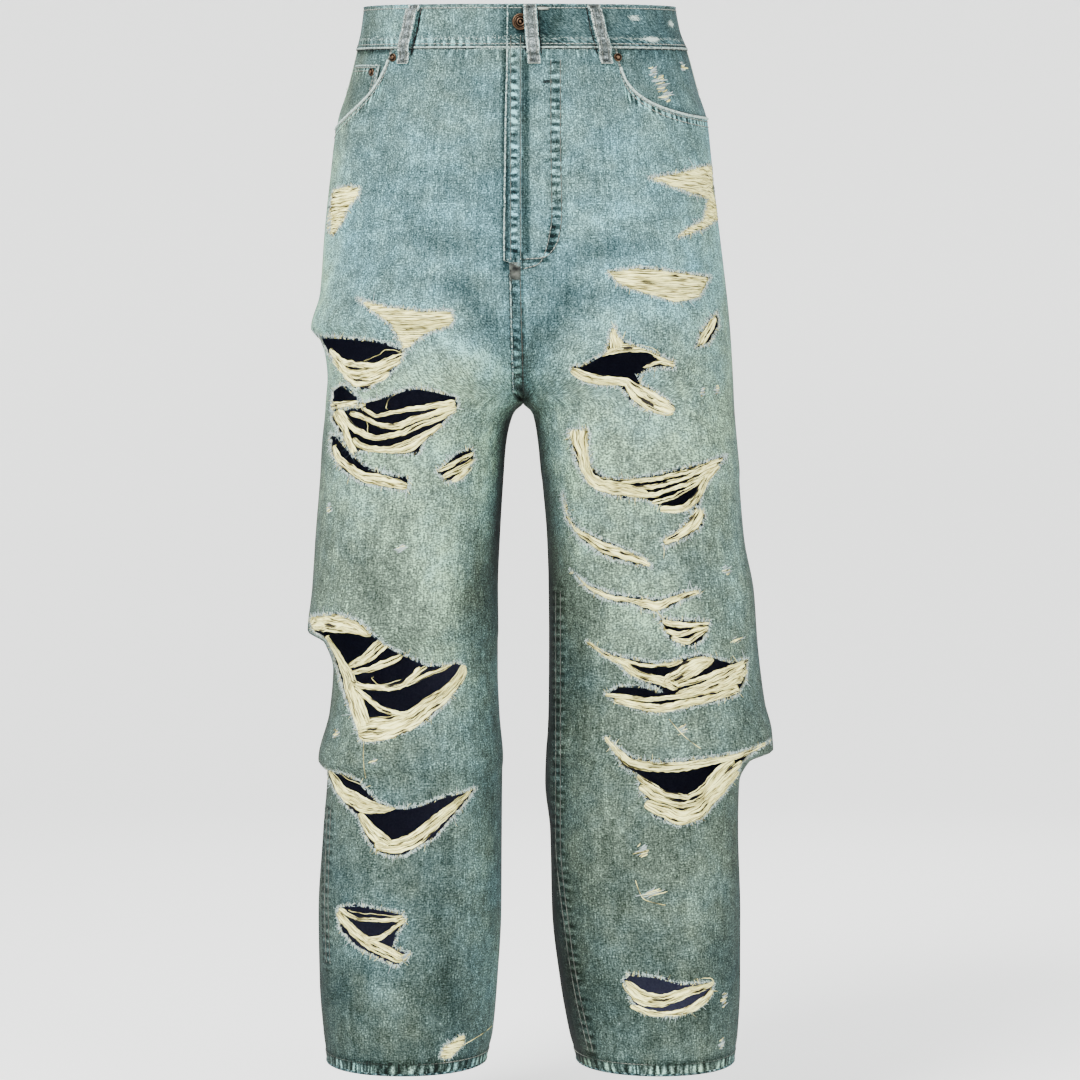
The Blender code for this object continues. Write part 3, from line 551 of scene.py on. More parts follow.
FADE_AND_SHADE = {
    # level, fade and sun (how far the blue has gone yellow), each at the inner edge, middle and outer; the
    # fade drops at the edges partly as painted shade
    "right": np.array([
        (0.020, 0.60, 0.60, 0.56, 0.35, 0.35, 0.85),
        (-0.100, 0.64, 0.62, 0.76, 0.15, 0.40, 0.80),
        (-0.160, 0.58, 0.63, 0.88, 0.00, 0.25, 0.95),
        (-0.220, 0.60, 0.68, 0.96, 0.00, 0.15, 1.00),
        (-0.300, 0.68, 0.72, 0.92, 0.10, 0.45, 1.00),
        (-0.360, 0.72, 0.80, 0.78, 0.60, 0.95, 0.85),
        (-0.430, 0.54, 0.78, 0.56, 0.55, 0.95, 0.90),
        (-0.500, 0.40, 0.73, 0.58, 0.45, 1.00, 0.90),
        (-0.560, 0.46, 0.65, 0.57, 0.45, 1.00, 0.90),
        (-0.640, 0.66, 0.65, 0.47, 0.42, 0.95, 0.85),
        (-0.710, 0.58, 0.60, 0.47, 0.45, 0.80, 0.95),
        (-0.780, 0.52, 0.50, 0.46, 0.48, 0.70, 0.80),
        (-0.830, 0.54, 0.45, 0.44, 0.50, 0.60, 0.65),
        (-0.900, 0.66, 0.56, 0.36, 0.50, 0.55, 0.60),
        (-0.950, 0.72, 0.42, 0.25, 0.50, 0.60, 0.60),
        (-1.040, 0.54, 0.42, 0.40, 0.65, 0.60, 0.60)]),
    "left": np.array([
        (0.020, 0.56, 0.50, 0.46, 0.20, 0.20, 0.25),
        (-0.100, 0.66, 0.66, 0.76, 0.20, 0.25, 0.30),
        (-0.200, 0.62, 0.70, 0.84, 0.05, 0.25, 0.45),
        (-0.280, 0.64, 0.76, 0.74, 0.10, 0.33, 0.70),
        (-0.340, 0.62, 0.68, 0.74, 0.45, 0.60, 0.90),
        (-0.400, 0.54, 0.78, 0.66, 0.60, 0.95, 0.85),
        (-0.450, 0.40, 0.76, 0.62, 0.70, 0.95, 0.75),
        (-0.510, 0.30, 0.70, 0.55, 0.90, 0.90, 0.60),
        (-0.560, 0.26, 0.74, 0.54, 0.95, 1.00, 0.60),
        (-0.640, 0.32, 0.64, 0.48, 0.75, 0.90, 0.65),
        (-0.700, 0.33, 0.58, 0.52, 0.70, 0.95, 0.75),
        (-0.800, 0.36, 0.56, 0.50, 0.75, 0.90, 0.70),
        (-0.880, 0.30, 0.54, 0.41, 0.80, 0.80, 0.60),
        (-0.940, 0.20, 0.39, 0.35, 0.85, 0.75, 0.60),
        (-1.040, 0.38, 0.60, 0.45, 0.75, 0.62, 0.60)]),
}


def fade_and_shade(leg, across, level):
    """How washed out and how yellow the cloth is, with painted shade where the fade drops at the edges of
    the legs: a table of levels, and between inner edge, middle and outer edge a curve."""
    t = np.clip(across, 0.0, 1.0)
    both = []
    for first in (1, 4):
        inner, middle, outer = (monotone(level, FADE_AND_SHADE[leg][:, 0], FADE_AND_SHADE[leg][:, first + i]) for i in range(3))
        both.append(np.where(t < 0.5, inner + (middle - inner) * smooth(t, 0.0, 0.45),
                             middle + (outer - middle) * smooth(t, 0.55, 1.0)))
    return both


print("folds:", {" ".join(key): len(rows) for key, rows in FOLDS.items()})


# %% [markdown]
# ## Rips
#
# A rip starts where the indigo warp threads have been cut or rubbed through. The undyed weft that lay
# across them stays behind and sags in bundles, so a rip is an outline cut out of the panel, and a few
# bands of cream thread that cross it. What no band covers is open, down to the reverse of the back of
# the leg, painted dark as the shade inside. All the places are in millimetres, as seen from in front.

# %% Tables of the rips
# lip: how far the cloth over the rip stands out
# full: the weft is whole, and closes the rip like a ladder of level threads
# cut: the outline of the missing warp, as x, z
# bands: the middle of each bundle of weft threads, as x, z, width, or of single threads up to SINGLE wide
RIPS = {}
RIPS["right"] = [
    dict(lip=1, full=True, cut=[(-186, -166), (-170, -165), (-158, -168), (-159, -176), (-169, -185),
        (-176, -200), (-186, -211), (-193, -204), (-190, -178)]),
    dict(lip=2.5, full=True, cut=[(-160, -277), (-128, -287), (-95, -292), (-68, -291), (-65, -300),
        (-68, -306), (-88, -312), (-99, -318), (-112, -328), (-118, -318), (-127, -303), (-145, -290)]),
    dict(lip=5, cut=[(-207, -306), (-194, -311), (-168, -315), (-140, -319), (-126, -323), (-112, -329),
        (-118, -341), (-128, -352), (-150, -366), (-164, -362), (-178, -343), (-192, -328)], bands=[
        [(-189, -323, 6), (-176, -336, 6), (-158, -341, 6), (-142, -343, 6), (-127, -338, 6),
        (-114, -333, 5)],
        [(-184, -332, 8), (-170, -348, 9), (-153, -351, 8), (-135, -346, 8), (-116, -339, 5)],
        [(-173, -346, 7), (-162, -358, 8), (-147, -359, 8), (-127, -350, 6)],
        [(-152, -339, 1.5), (-137, -333, 1.5), (-127, -327, 1.5), (-116, -331, 1.5)]]),
    dict(lip=2, cut=[(-186, -364), (-174, -359), (-156, -373), (-152, -381), (-170, -382),
        (-187, -383)], bands=[
        [(-188, -380, 8), (-170, -379, 7), (-152, -380, 7)]]),
    dict(lip=4, cut=[(-185, -380), (-168, -384), (-155, -379), (-132, -374), (-112, -367), (-100, -365),
        (-83, -368), (-63, -373), (-61, -381), (-78, -402), (-94, -416), (-98, -427), (-113, -428),
        (-124, -426), (-141, -424), (-158, -425), (-164, -430), (-174, -410), (-187, -392)], bands=[
        [(-152, -383, 2.4), (-138, -391, 3), (-119, -387, 4), (-91, -383, 5), (-64, -378, 6)],
        [(-166, -387, 4), (-153, -392, 4), (-138, -399, 4), (-122, -402, 6), (-102, -394, 6),
        (-81, -388, 6), (-63, -382, 4)],
        [(-179, -383, 6), (-167, -397, 6), (-155, -407, 6), (-140, -412, 5), (-119, -409, 5),
        (-102, -402, 5), (-81, -394, 4), (-63, -385, 3)],
        [(-163, -412, 4), (-150, -421, 5), (-131, -424, 6), (-109, -420, 11), (-93, -411, 6),
        (-77, -399, 3)],
        [(-183, -385, 6), (-172, -402, 6), (-167, -414, 6), (-161, -428, 6)],
        [(-115, -368, 1), (-126, -374, 1), (-130, -385, 1)],
        [(-150, -393, 1), (-147, -401, 1), (-148, -409, 1)]]),
    dict(lip=2, cut=[(-188, -406), (-179, -409), (-170, -420), (-157, -433), (-145, -442), (-128, -447),
        (-108, -451), (-109, -463), (-134, -459), (-155, -455), (-174, -443), (-187, -425)], bands=[
        [(-184, -418, 4), (-178, -430, 6), (-166, -441, 8), (-153, -449, 9), (-138, -452, 11),
        (-122, -456, 9), (-109, -458, 6)]]),
    dict(lip=1.5, cut=[(-82, -445), (-76, -438), (-64, -427), (-49, -421), (-46, -431), (-58, -452),
        (-72, -454)], bands=[
        [(-80, -444, 4), (-63, -435, 4), (-46, -426, 4)],
        [(-76, -450, 5), (-60, -442, 5), (-46, -432, 5)],
        [(-68, -454, 5), (-56, -447, 6), (-49, -438, 4)]]),
    dict(lip=6, cut=[(-213, -588), (-204, -584), (-177, -581), (-158, -586), (-150, -590), (-143, -599),
        (-129, -611), (-113, -620), (-93, -630), (-80, -631), (-63, -628), (-57, -632), (-59, -646),
        (-71, -665), (-93, -685), (-123, -697), (-137, -703), (-157, -704), (-164, -686), (-174, -664),
        (-187, -632), (-194, -606), (-205, -600)], bands=[
        [(-208, -592, 12), (-190, -590, 18), (-174, -590, 18), (-158, -594, 13), (-145, -601, 6)],
        [(-190, -603, 4), (-180, -624, 8), (-170, -643, 14), (-165, -660, 16), (-159, -676, 17),
        (-153, -694, 14)],
        [(-168, -633, 5), (-152, -625, 9), (-137, -613, 12), (-129, -605, 9)],
        [(-166, -639, 4), (-148, -635, 5), (-132, -629, 7), (-115, -621, 5)],
        [(-145, -642, 1.4), (-136, -650, 1.4), (-117, -644, 1.4)],
        [(-172, -643, 5), (-150, -652, 5), (-125, -652, 6), (-109, -645, 5), (-98, -632, 5)],
        [(-116, -650, 3), (-105, -641, 4), (-92, -631, 5)],
        [(-112, -650, 3), (-92, -640, 4), (-78, -634, 4), (-68, -629, 3)],
        [(-162, -653, 5), (-145, -666, 5), (-130, -675, 6), (-113, -678, 6), (-95, -668, 4)],
        [(-56, -631, 8), (-62, -646, 11), (-76, -660, 14), (-94, -673, 16), (-109, -684, 18),
        (-127, -690, 20), (-141, -693, 22), (-160, -695, 16)]]),
    dict(lip=4, cut=[(-206, -731), (-194, -736), (-173, -737), (-157, -742), (-148, -752), (-138, -762),
        (-125, -767), (-112, -768), (-98, -765), (-80, -758), (-45, -751), (-60, -770), (-84, -797),
        (-113, -814), (-126, -815), (-139, -812), (-152, -799), (-160, -778), (-172, -769),
        (-187, -754)], bands=[
        [(-189, -735, 5), (-184, -745, 9), (-175, -756, 13), (-162, -763, 17), (-147, -768, 14),
        (-131, -769, 6), (-120, -767, 4)],
        [(-178, -737, 1.5), (-164, -744, 1.5), (-150, -748, 2)],
        [(-158, -774, 5), (-149, -787, 11), (-139, -798, 15), (-126, -805, 14)],
        [(-50, -753, 3), (-64, -765, 8), (-78, -777, 11), (-92, -789, 13), (-107, -800, 14),
        (-126, -806, 13), (-143, -803, 8)]]),
    dict(lip=2.5, cut=[(-181, -869), (-172, -865), (-156, -863), (-133, -866), (-115, -870),
        (-113, -879), (-121, -889), (-124, -903), (-108, -909), (-121, -921), (-146, -911),
        (-162, -904), (-178, -889)], bands=[
        [(-169, -869, 1.4), (-156, -871, 1.4), (-144, -871, 1.4), (-118, -872, 1.4)],
        [(-180, -869, 5), (-168, -874, 4), (-158, -877, 3.5), (-139, -877, 3.5), (-113, -874, 5)],
        [(-181, -873, 7), (-170, -884, 9), (-160, -892, 10), (-151, -899, 11), (-138, -905, 12),
        (-126, -910, 11), (-114, -914, 8)],
        [(-112, -876, 5), (-121, -882, 4), (-130, -889, 4), (-139, -895, 5), (-152, -897, 6)]]),
    dict(lip=0.5, full=True, cut=[(-77, -1001), (-58, -992), (-57, -1000), (-71, -1013), (-79, -1011)]),
]
RIPS["left"] = [
    dict(lip=1.5, full=True, cut=[(122, -161), (153, -153), (188, -138), (191, -166), (194, -192),
        (178, -206), (150, -218), (160, -208), (177, -197), (182, -175), (163, -173), (138, -166)]),
    dict(lip=2.5, full=True, cut=[(81, -254), (112, -249), (162, -253), (184, -253), (171, -276),
        (148, -281), (116, -273), (93, -266)]),
    dict(lip=1.5, cut=[(167, -325), (172, -308), (180, -296), (190, -287), (192, -300),
        (182, -319)], bands=[
        [(171, -322, 7), (178, -311, 8), (188, -293, 6)]]),
    dict(lip=3, cut=[(47, -344), (59, -343), (73, -335), (80, -331), (84, -312), (88, -304), (92, -316),
        (99, -322), (116, -327), (129, -332), (146, -340), (146, -346), (132, -345), (120, -347),
        (110, -353), (114, -362), (127, -368), (139, -376), (145, -384), (138, -390), (126, -388),
        (111, -383), (101, -373), (94, -364), (84, -361), (71, -362), (58, -358), (49, -350)], bands=[
        [(46, -347, 5), (62, -354, 9), (80, -358, 8), (98, -359, 8), (107, -367, 14), (119, -375, 18),
        (132, -381, 18), (146, -387, 10)],
        [(76, -334, 4), (98, -327, 7), (118, -328, 6), (132, -334, 4)],
        [(87, -304, 4), (88, -314, 8), (90, -324, 14), (92, -330, 16)],
        [(116, -345, 3), (131, -340, 4), (147, -343, 4)],
        [(126, -334, 2.4), (138, -338, 3), (147, -340, 2.4)]]),
    dict(lip=4, cut=[(44, -404), (65, -404), (64, -425), (68, -441), (81, -451), (102, -452),
        (130, -447), (157, -440), (199, -427), (186, -444), (176, -460), (170, -476), (154, -483),
        (138, -482), (130, -476), (115, -471), (95, -469), (77, -465), (60, -452), (52, -436)], bands=[
        [(54, -402, 22), (56, -420, 15), (59, -433, 11), (62, -446, 10), (72, -456, 13), (90, -461, 12),
        (106, -463, 9), (120, -466, 5)],
        [(74, -452, 4), (104, -454, 4), (135, -450, 4), (162, -443, 4), (194, -431, 4)],
        [(96, -461, 4), (117, -460, 4), (138, -456, 4), (162, -448, 4), (188, -436, 3)],
        [(100, -467, 5), (122, -467, 5), (143, -461, 4), (164, -453, 4), (188, -439, 3)],
        [(124, -475, 4), (144, -469, 4), (162, -459, 3), (176, -450, 3)],
        [(132, -481, 6), (153, -480, 7), (167, -470, 8), (176, -455, 7), (190, -438, 4)]]),
    dict(lip=1.5, cut=[(168, -477), (176, -486), (171, -499), (157, -508), (135, -517), (134, -510),
        (148, -501), (157, -493)], bands=[
        [(171, -480, 10), (164, -494, 13), (151, -504, 9), (136, -513, 5)]]),
    dict(lip=3, cut=[(40, -463), (48, -489), (56, -499), (69, -505), (94, -517), (115, -526),
        (125, -536), (89, -529), (76, -524), (56, -509), (43, -489)], bands=[
        [(41, -466, 2), (45, -486, 3), (51, -499, 5), (63, -508, 7), (80, -518, 10), (102, -525, 9),
        (123, -534, 4)]]),
    dict(lip=2, cut=[(47, -539), (65, -553), (75, -557), (89, -562), (106, -564), (120, -566),
        (133, -567), (145, -562), (168, -557), (171, -562), (156, -567), (142, -574), (129, -579),
        (117, -577), (106, -571), (90, -570), (76, -565), (64, -559)], bands=[
        [(50, -542, 2.4), (66, -556, 4), (84, -565, 5), (106, -568, 4), (118, -571, 8), (129, -573, 9),
        (142, -568, 6), (156, -563, 5), (170, -560, 3)]]),
    dict(lip=1.5, cut=[(130, -583), (137, -586), (151, -586), (166, -587), (181, -588), (178, -599),
        (172, -607), (161, -612), (147, -609), (138, -600)], bands=[
        [(134, -588, 4), (152, -591, 6), (166, -591, 5), (180, -590, 3)],
        [(137, -597, 4), (152, -600, 5), (164, -597, 4), (179, -593, 3)],
        [(142, -604, 4), (158, -607, 5), (168, -602, 4), (178, -596, 3)]]),
    dict(lip=4, cut=[(61, -608), (73, -616), (98, -622), (130, -628), (146, -625), (166, -620),
        (180, -622), (200, -628), (220, -626), (218, -647), (208, -661), (190, -665), (163, -670),
        (130, -676), (110, -673), (89, -665), (80, -658), (94, -650), (117, -651), (134, -656),
        (125, -649), (102, -640), (95, -630), (80, -622)], bands=[
        [(62, -609, 3), (80, -620, 5), (95, -628, 7), (108, -637, 8), (124, -643, 8), (140, -647, 9),
        (150, -652, 9)],
        [(92, -623, 3), (108, -628, 3.5), (124, -630, 4), (142, -629, 4), (154, -625, 5)],
        [(134, -649, 8), (148, -641, 14), (162, -633, 17), (176, -627, 11), (184, -624, 6)],
        [(148, -650, 4), (175, -642, 4), (195, -635, 4), (221, -627, 4)],
        [(148, -658, 5), (175, -651, 8), (195, -644, 12), (218, -634, 15)],
        [(80, -659, 4), (100, -661, 4), (117, -663, 4), (135, -662, 4), (155, -660, 4), (175, -657, 4),
        (195, -652, 6), (214, -643, 9)],
        [(88, -664, 5), (113, -669, 7), (129, -672, 8), (148, -669, 8), (175, -664, 7),
        (210, -654, 9)]]),
    dict(lip=6, cut=[(80, -700), (93, -709), (108, -719), (130, -723), (156, -721), (199, -716),
        (222, -712), (244, -707), (222, -718), (214, -731), (213, -741), (200, -757), (188, -768),
        (174, -781), (152, -786), (128, -776), (122, -763), (113, -750), (112, -737),
        (96, -728)], bands=[
        [(80, -699, 4), (93, -714, 6), (105, -724, 9), (128, -728, 10), (151, -728, 10), (170, -725, 9),
        (192, -721, 8), (212, -717, 6), (238, -709, 4)],
        [(111, -737, 5), (126, -748, 6), (143, -756, 5), (159, -758, 5), (171, -753, 6), (182, -743, 8),
        (192, -732, 9), (204, -723, 8)],
        [(113, -747, 7), (127, -757, 7), (143, -763, 6), (157, -766, 6), (171, -762, 6), (186, -750, 9),
        (200, -738, 10), (214, -726, 8)],
        [(118, -764, 8), (136, -771, 12), (154, -778, 14), (169, -774, 14), (182, -763, 12),
        (197, -751, 10), (212, -737, 7)]]),
    dict(lip=2.5, cut=[(98, -935), (103, -929), (128, -931), (150, -938), (172, -939), (186, -941),
        (183, -954), (170, -964), (150, -970), (128, -969), (113, -965), (105, -955)], bands=[
        [(98, -937, 8), (107, -946, 13), (120, -953, 14), (134, -955, 12), (147, -951, 11),
        (160, -947, 9), (173, -945, 7), (187, -941, 5)],
        [(104, -960, 5), (120, -966, 6), (134, -968, 6), (149, -968, 7), (163, -964, 8), (175, -957, 8),
        (185, -947, 6)],
        [(161, -951, 1), (164, -941, 1), (174, -935, 1), (183, -937, 1), (186, -942, 1)]]),
]
NICKS = {
    # places where a few threads are worn bare, as x, z, width, height
    "right": [(-188, -479, 7, 9), (-115, -518, 14, 6), (-182, -699, 9, 8), (-144, -723, 9, 4),
              (-112, -912, 12, 6), (-190, -195, 5, 26)],
    "left": [(174, -367, 5, 8), (189, -364, 6, 8), (198, -539, 11, 7), (209, -607, 16, 5),
             (116, -809, 14, 10), (197, -959, 7, 13), (195, -1002, 6, 10), (129, -55, 8, 10),
             (142, -78, 14, 10), (155, -696, 12, 16), (124, -850, 24, 6), (160, -44, 8, 8),
             (136, -66, 12, 16)],
}
LOOSE = {
    # single threads that lie on the cloth, as x, z
    "right": [[(-154, -703), (-153, -721), (-150, -740)], [(-31, -992), (-55, -1001), (-76, -1012)]],
    "left": [[(141, -682), (155, -698), (170, -710)], [(109, -838), (117, -856), (138, -862)],
             [(128, -577), (131, -581), (134, -585)]],
}
RAGGED = 0.78 * MM  # how uneven a torn edge is
LIP_OVER, LIP_UNDER = 16 * MM, 12 * MM  # how far from a rip its cloth still stands out or lies back
LIP_BACK = 0.35  # how far the cloth under a rip lies back, as a share of the lip


def line_distance(x, z, line):
    """Distance to a run of straight lines through places in mm, in metres."""
    nearest = np.full(x.shape, np.inf)
    rows = np.array(line) * MM
    for (ax, az), (bx, bz) in zip(rows[:-1], rows[1:]):
        run_x, run_z = bx - ax, bz - az
        t = np.clip(((x - ax) * run_x + (z - az) * run_z) / (run_x ** 2 + run_z ** 2), 0.0, 1.0)
        nearest = np.minimum(nearest, np.hypot(x - ax - t * run_x, z - az - t * run_z))
    return nearest


def outline_distance(x, z, cut):
    """Signed distance to an outline: to the nearest of its edges, under zero inside it. A place is
    inside if a level line from it crosses the edges an odd number of times."""
    corners = np.array(cut) * MM
    inside = np.zeros(x.shape, bool)
    for (ax, az), (bx, bz) in zip(corners, np.roll(corners, -1, axis=0)):
        rise = 1.0 if bz == az else bz - az
        inside ^= ((az > z) != (bz > z)) & (x < ax + (z - az) * (bx - ax) / rise)
    return np.where(inside, -1.0, 1.0) * line_distance(x, z, [*cut, cut[0]])


def rip_edges(cut, count=60):
    """Level by level across a rip: places x from one end to the other, with its upper and lower edge."""
    corners = np.array(cut) * MM
    x = np.linspace(corners[:, 0].min(), corners[:, 0].max(), count + 2)[1:-1]
    upper, lower = np.full(count, -np.inf), np.full(count, np.inf)
    for (ax, az), (bx, bz) in zip(corners, np.roll(corners, -1, axis=0)):
        met = (np.minimum(ax, bx) <= x) & (x <= np.maximum(ax, bx)) & (ax != bx)
        z = az + (bz - az) * (x - ax) / (bx - ax if ax != bx else 1.0)
        upper = np.where(met, np.maximum(upper, z), upper)
        lower = np.where(met, np.minimum(lower, z), lower)
    return x, upper, lower


def rip_lift(leg, x, z):
    """Cloth over a rip stands out by its lip, and cloth under it lies back by a share of that: the lip
    times exp(-(distance / reach)^1.5), and a straight line across the rip itself."""
    total = np.zeros_like(x)
    for rip in RIPS[leg]:
        xs, upper, lower = rip_edges(rip["cut"])
        lip = rip["lip"] * MM
        u = (x - xs[0]) / (xs[-1] - xs[0])
        window = np.where((u > 0) & (u < 1), np.sin(math.pi * np.clip(u, 0, 1)) ** 0.6, 0.0)
        top, foot = np.interp(x, xs, upper), np.interp(x, xs, lower)
        over = np.exp(-(np.maximum(z - top, 0.0) / LIP_OVER) ** 1.5)
        under = -LIP_BACK * np.exp(-(np.maximum(foot - z, 0.0) / LIP_UNDER) ** 1.5)
        t = np.clip((z - foot) / np.maximum(top - foot, 1 * MM), 0.0, 1.0)
        within = np.where(t <= 0, under, (1 + LIP_BACK) * t - LIP_BACK)
        total += window * lip * np.where(t >= 1, over, within)
    return total


def rip_distance(leg, x, z):
    """Signed distance to the nearest rip."""
    return np.minimum.reduce([outline_distance(x, z, rip["cut"]) for rip in RIPS[leg]])


print("rips:", {leg: len(rows) for leg, rows in RIPS.items()})


# %% Seams
SEAMS = {
    # line x, z; half width; tuck, gather: how puckered it is; fade: how much paler, and below zero with a
    # sunken rise a painted shadow; rise, in mm
    ("right", "front"): [
        dict(line=[(-8, -24), (-8, -150), (-8, -244)], half=3.4, tuck=1.5, fade=0.02, rise=0.0),
        dict(line=[(-8, -252), (-7, -300), (-6, -345), (-4, -372)], half=4.5, tuck=0.9, fade=-0.16, rise=0.5),
        # painted shadow beside the left edge of the fly placket
        dict(line=[(-17, -24), (-16, -150), (-16, -250)], half=3.2, tuck=0.0, fade=-0.38, rise=-0.8),
        dict(line=[(-191, -775), (-193, -860), (-191, -930)], half=5.0, tuck=0.7, fade=-0.10, rise=0.4)],
    ("left", "front"): [
        dict(line=[(32, -50), (32, -120), (33, -200), (30, -226), (18, -243), (0, -246)], half=5.5, tuck=1.1,
             fade=-0.12, rise=0.4),
        # painted shade in a fold below the J
        dict(line=[(30, -208), (27, -232)], half=3.5, tuck=0.0, fade=-0.45, rise=-0.8),
        # painted shade in the trough beside the centre seam
        dict(line=[(4, -45), (4, -150), (4, -235)], half=2.5, tuck=0.0, fade=-0.35, rise=-0.6),
        dict(line=[(16, -60), (17, -150), (15, -220)], half=6.0, tuck=0.0, fade=0.05, rise=0.2),
        dict(line=[(35, -560), (35, -660), (35, -800), (46, -900), (56, -960), (68, -1012)], half=6.5,
             tuck=0.8, fade=-0.12, rise=0.4)],
    ("right", "back"): [
        dict(line=[(-4, -100), (-5, -250), (-4, -365)], half=5.0, tuck=0.8, fade=-0.10, rise=0.5)],
    ("left", "back"): [
        dict(line=[(12, -100), (12, -250), (10, -365)], half=5.0, tuck=0.3, fade=-0.05, rise=0.2)],
}
EDGE_PAINTED_SHADE = np.array([
    # level  right inner  left inner  outer: how strong the painted shade is along the edges of the legs
    (0.020, 0.00, 0.00, 0.15),
    (-0.340, 0.00, 0.00, 0.22),
    (-0.375, 0.55, 0.35, 0.25),
    (-0.400, 0.95, 0.50, 0.28),
    (-0.500, 0.95, 0.60, 0.34),
    (-0.560, 0.60, 0.80, 0.40),
    (-0.640, 0.22, 0.88, 0.38),
    (-0.800, 0.08, 0.92, 0.42),
    (-0.900, 0.08, 0.95, 0.42),
    (-1.010, 0.25, 0.95, 0.42),
])
EDGE_PAINTED_SHADE_WIDTH = {"right": 9 * MM, "left": 7 * MM}  # at the inner edges
OUTER_PAINTED_SHADE_WIDTH = 8 * MM
GATHER_AT_HEM, GATHER_AT_FOOT, GATHER_AT_BAND = 1.5, 0.7, 0.45  # how puckered the edges of panels are


def seam_marks(leg, face, x, z, level, lengths):
    """Sums over the seams of a panel: tuck, gather, fade, rise, and the painted shade along the leg's edges.
    Each seam counts by exp(-(distance / half width)^4)."""
    tuck, fade, rise = (np.zeros_like(x) for _ in range(3))
    for seam in SEAMS[leg, face]:
        near = np.exp(-(line_distance(x, z, seam["line"]) / (seam["half"] * MM)) ** 4)
        tuck += seam["tuck"] * near
        fade += seam["fade"] * near
        rise += seam["rise"] * MM * near
    foot = GATHER_AT_HEM if level.min() < FORK else GATHER_AT_FOOT
    mouth = smooth(BAND_FOOT - level[:1], 2 * MM, 12 * MM)
    gather = foot * (1 - smooth(lengths["foot"], 9 * MM, 13 * MM))
    gather = gather + (GATHER_AT_BAND + mouth) * np.exp(-((lengths["top"] - 6 * MM) / (4 * MM)) ** 4)
    # painted shadow 12 mm above the foot, under the upper edge of the hem's fold
    fade += -0.30 * bell(lengths["foot"] - 12 * MM, 2.5 * MM)
    # painted shade along the inner and outer edges of the legs, where they turn away from the light
    inner, outer = (monotone(level, EDGE_PAINTED_SHADE[:, 0], EDGE_PAINTED_SHADE[:, i]) for i in (1 if leg == "right" else 2, 3))
    wide = EDGE_PAINTED_SHADE_WIDTH[leg] * (1.0 + 0.8 * smooth(-level, 0.8, 1.0))
    painted_shade = inner * bell(x - x[:, :1], wide) * smooth(-level, 0.34, 0.38)
    painted_shade = painted_shade + outer * bell(x - x[:, -1:], OUTER_PAINTED_SHADE_WIDTH)
    return tuck, gather, fade, rise, np.clip(painted_shade, 0.0, 1.0)


# %% One panel of cloth
PIECES, FLAT = [], {}
PANEL_WIDTH = 0.27  # metres of cloth across a panel, on average
RIDGE_WEAR_AND_LIGHT = 90.0  # how much paler a ridge, and darker a trough, is for each metre that it stands out: rubbed whiskers at the hips, painted light and shade on the other folds
TORN_REACH = 10 * MM  # torn is 1 at the edge of a rip, and falls to 0 this far from it


def dress(thing, nodes, materials=(DENIM, REVERSE_PAINTED_SHADE, RIM), thick=WALL):
    """Give a piece its wall and its materials, let it ride, and let it stand for its solids. The cut of a
    sheet is in FLAT."""
    for material in materials:
        thing.data.materials.append(material)
    if thick:
        wall = thing.modifiers.new("wall", "SOLIDIFY")
        wall.thickness = thick
        wall.offset = -1.0
        wall.material_offset = 1
        wall.material_offset_rim = 2
    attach(thing, "root")
    if nodes:
        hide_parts(*nodes)
    PIECES.append(thing)
    return thing


def seam_lengths(points):
    """Lengths of cloth from the four edges of a grid of points: inner, outer, top and foot."""
    across = np.linalg.norm(np.diff(points, axis=1), axis=2)
    down = np.linalg.norm(np.diff(points, axis=0), axis=2)
    inner = np.concatenate([np.zeros((len(points), 1)), np.cumsum(across, 1)], 1)
    top = np.concatenate([np.zeros((1, points.shape[1])), np.cumsum(down, 0)], 0)
    return inner, inner[:, -1:] - inner, top, top[-1:] - top


